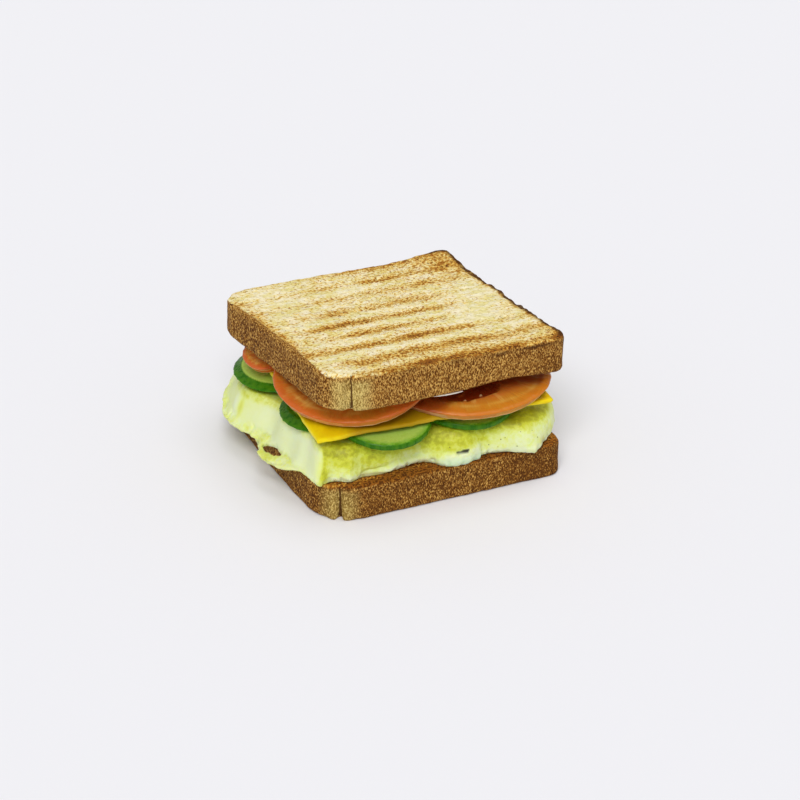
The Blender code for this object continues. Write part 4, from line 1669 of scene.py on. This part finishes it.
@dataclass
class PepperFlecks:
    """Ground pepper on the omelette: grains of 0.3 to 0.9 mm, each lying on the surface."""

    shown: tuple[Triple, ...] = (
        (0.0288, -0.0493, 0.0194), (0.0318, -0.0497, 0.0232), (0.0364, -0.0518, 0.0194),
        (0.0457, -0.0517, 0.0215), (0.0301, -0.0495, 0.0226), (0.0250, -0.0495, 0.0210),
    )
    strewn: int = 16
    seed: int = 61

    def spots(self, ground: BVHTree) -> list[tuple[Vector, Vector, float]]:
        """Finds where the grains lie.

        Args:
            ground: The omelette's surface.

        Returns:
            For each grain a point on the omelette, the way it faces, and the grain's size.
        """
        rng = np.random.default_rng(self.seed)
        found = []
        for spot in self.shown:
            point, normal = ground.find_nearest(Vector(spot) + Vector(MARK))[:2]
            found.append((point, normal, rng.uniform(0.00020, 0.00034)))
        while len(found) < self.strewn + len(self.shown):
            angle = rng.uniform(0.0, math.tau)
            start = Vector((math.cos(angle), math.sin(angle), 0.0)) * 0.12
            start.z = rng.uniform(0.016, 0.031)
            aim = Vector((0.0, 0.0, start.z + rng.uniform(-0.004, 0.004)))
            point, normal = ground.ray_cast(start, (aim - start).normalized())[:2]
            if point is not None:
                found.append((point, normal, rng.uniform(0.00010, 0.00024)))
        return found

    def build(self, omelette: bpy.types.Object, material: bpy.types.Material) -> bpy.types.Object:
        """Builds and dresses the grains.

        Args:
            omelette: What they lie on.
            material: What they wear.

        Returns:
            The grains, as one piece.
        """
        ground = BVHTree.FromObject(omelette, bpy.context.evaluated_depsgraph_get())
        rng = np.random.default_rng(self.seed + 1)
        build = bmesh.new()
        for point, normal, size in self.spots(ground):
            turn = normal.to_track_quat("Z", "Y").to_matrix().to_4x4()
            spin = Matrix.Rotation(rng.uniform(0.0, math.tau), 4, "Z")
            flat = Matrix.Diagonal((size, size * rng.uniform(0.5, 1.0), size * 0.6, 1.0))
            place = Matrix.Translation(point) @ turn @ spin @ flat
            made = bmesh.ops.create_icosphere(build, subdivisions=1, radius=1.0, matrix=place)
            for vertex in made["verts"]:
                vertex.co += normal * float(rng.uniform(-0.25, 0.25)) * size
        return loose_piece("pepper_flecks", build, material)


# Studio

class Lamp(Enum):
    """The lamps: azimuth and elevation that they shine from, strength, spread and warmth."""

    KEY = (-32.0, 48.0, 1.73, 0.50, (1.0, 0.99, 0.97))
    OVERHEAD = (60.0, 80.0, 0.63, 0.70, (1.0, 1.0, 1.0))


@dataclass
class Studio:
    """Pale floor, soft lamps and the camera. Lengths in metres."""

    aim: Triple = (0.02297, 0.03697, 0.0)
    azimuth: float = -24.3
    elevation: float = 28.7
    distance: float = 1.6
    lens: float = 164.61
    floor_size: float = 8.0
    floor_tint: Colour = tint(239, 239, 243)
    sky_tint: Colour = (1.0, 1.0, 1.02, 1.0)
    sky_strength: float = 0.42

    @staticmethod
    def direction(azimuth: float, elevation: float) -> Vector:
        """The way from the object towards an azimuth from the front and an elevation."""
        a, e = math.radians(azimuth), math.radians(elevation)
        return Vector((math.sin(a) * math.cos(e), -math.cos(a) * math.cos(e), math.sin(e)))

    def build_floor(self) -> None:
        """Lays the floor."""
        mesh = bpy.data.meshes.new("floor")
        half = self.floor_size / 2
        corners = [(-half, -half, 0), (half, -half, 0), (half, half, 0), (-half, half, 0)]
        mesh.from_pydata(corners, [], [(0, 1, 2, 3)])
        look = Look("floor_matte")
        look.surface(self.floor_tint, 0.9, 0.1)
        mesh.materials.append(look.material)
        put_in_scene("floor", mesh)

    def build_lamps(self) -> None:
        """Hangs the lamps and lights the sky."""
        for lamp in Lamp:
            azimuth, elevation, strength, spread, warmth = lamp.value
            light = bpy.data.lights.new(lamp.name.lower(), "SUN")
            light.angle = spread
            light.energy = strength
            light.color = warmth
            holder = put_in_scene(lamp.name.lower(), light)
            away = self.direction(azimuth, elevation)
            holder.location = away
            holder.rotation_euler = away.to_track_quat("Z", "Y").to_euler()
        world = bpy.data.worlds.new("studio")
        world.use_nodes = True
        sky = world.node_tree.nodes["Background"]
        sky.inputs[0].default_value = self.sky_tint
        sky.inputs[1].default_value = self.sky_strength
        bpy.context.scene.world = world

    def build_camera(self) -> None:
        """Sets up the camera at the photograph's viewing angle."""
        camera = bpy.data.cameras.new("camera")
        camera.lens = self.lens
        camera.sensor_width = 36.0
        holder = put_in_scene("camera", camera)
        away = self.direction(self.azimuth, self.elevation)
        holder.location = Vector(self.aim) + Vector(MARK) + away * self.distance
        holder.rotation_euler = away.to_track_quat("Z", "Y").to_euler()
        bpy.context.scene.camera = holder
        bpy.context.scene.view_settings.view_transform = "Standard"

    def build(self) -> None:
        """Builds the whole studio."""
        self.build_floor()
        self.build_lamps()
        self.build_camera()


LID = ToastSlice(
    node="toast_top",
    name="top_toast",
    centre=(0.002847, 0.00238, 0.0626),
    lean=(math.radians(-4.3), math.radians(2.83), math.radians(3.8)),
    width=0.1106,
    crack_degrees=245.0,
    seed=1,
    bands=TOP_BANDS,
    patches=TOP_PATCHES,
    base_browning=0.23,
    creases=((0.0056, -0.005, -0.014),),
    crack_lips=0.0,
    right_rim_bumps=0.0008,
    scorch=1.0,
    worn_rim=2.7,
)
BASE = ToastSlice(
    node="toast_bottom",
    name="bottom_toast",
    centre=(0.004447, 0.00298, 0.0156),
    lean=(0.0, 0.0, 0.0),
    width=0.1086,
    crack_degrees=235.0,
    seed=5,
    bands=BASE_BANDS,
    patches=BASE_PATCHES,
    base_browning=0.78,
    crust_shade=-0.20,
    husk=0.85,
    husk_reach=11.0,
    left_shade=0.06,
    cell=0.0007,
)


def main() -> None:
    """Builds every piece in order, then the studio."""
    logging.basicConfig(level=logging.INFO, format="%(name)s: %(message)s")
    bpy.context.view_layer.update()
    effects = Effects()
    toast = ToastFinish(effects).material()
    BASE.build(toast)
    omelette = Omelette().build(OmeletteFinish(effects).material())
    cucumber = CucumberFinish(effects).material()
    for piece in CUCUMBERS:
        piece.build(cucumber)
    CheeseSlice().build(CheeseFinish(effects).material())
    tomato = TomatoFinish(effects).material()
    for piece in TOMATOES:
        piece.build(tomato)
    LID.build(toast)
    SauceLip().build(LID, SauceFinish().material())
    PepperFlecks().build(omelette, PepperFinish(effects).material())
    Studio().build()


if __name__ == "__main__":
    main()
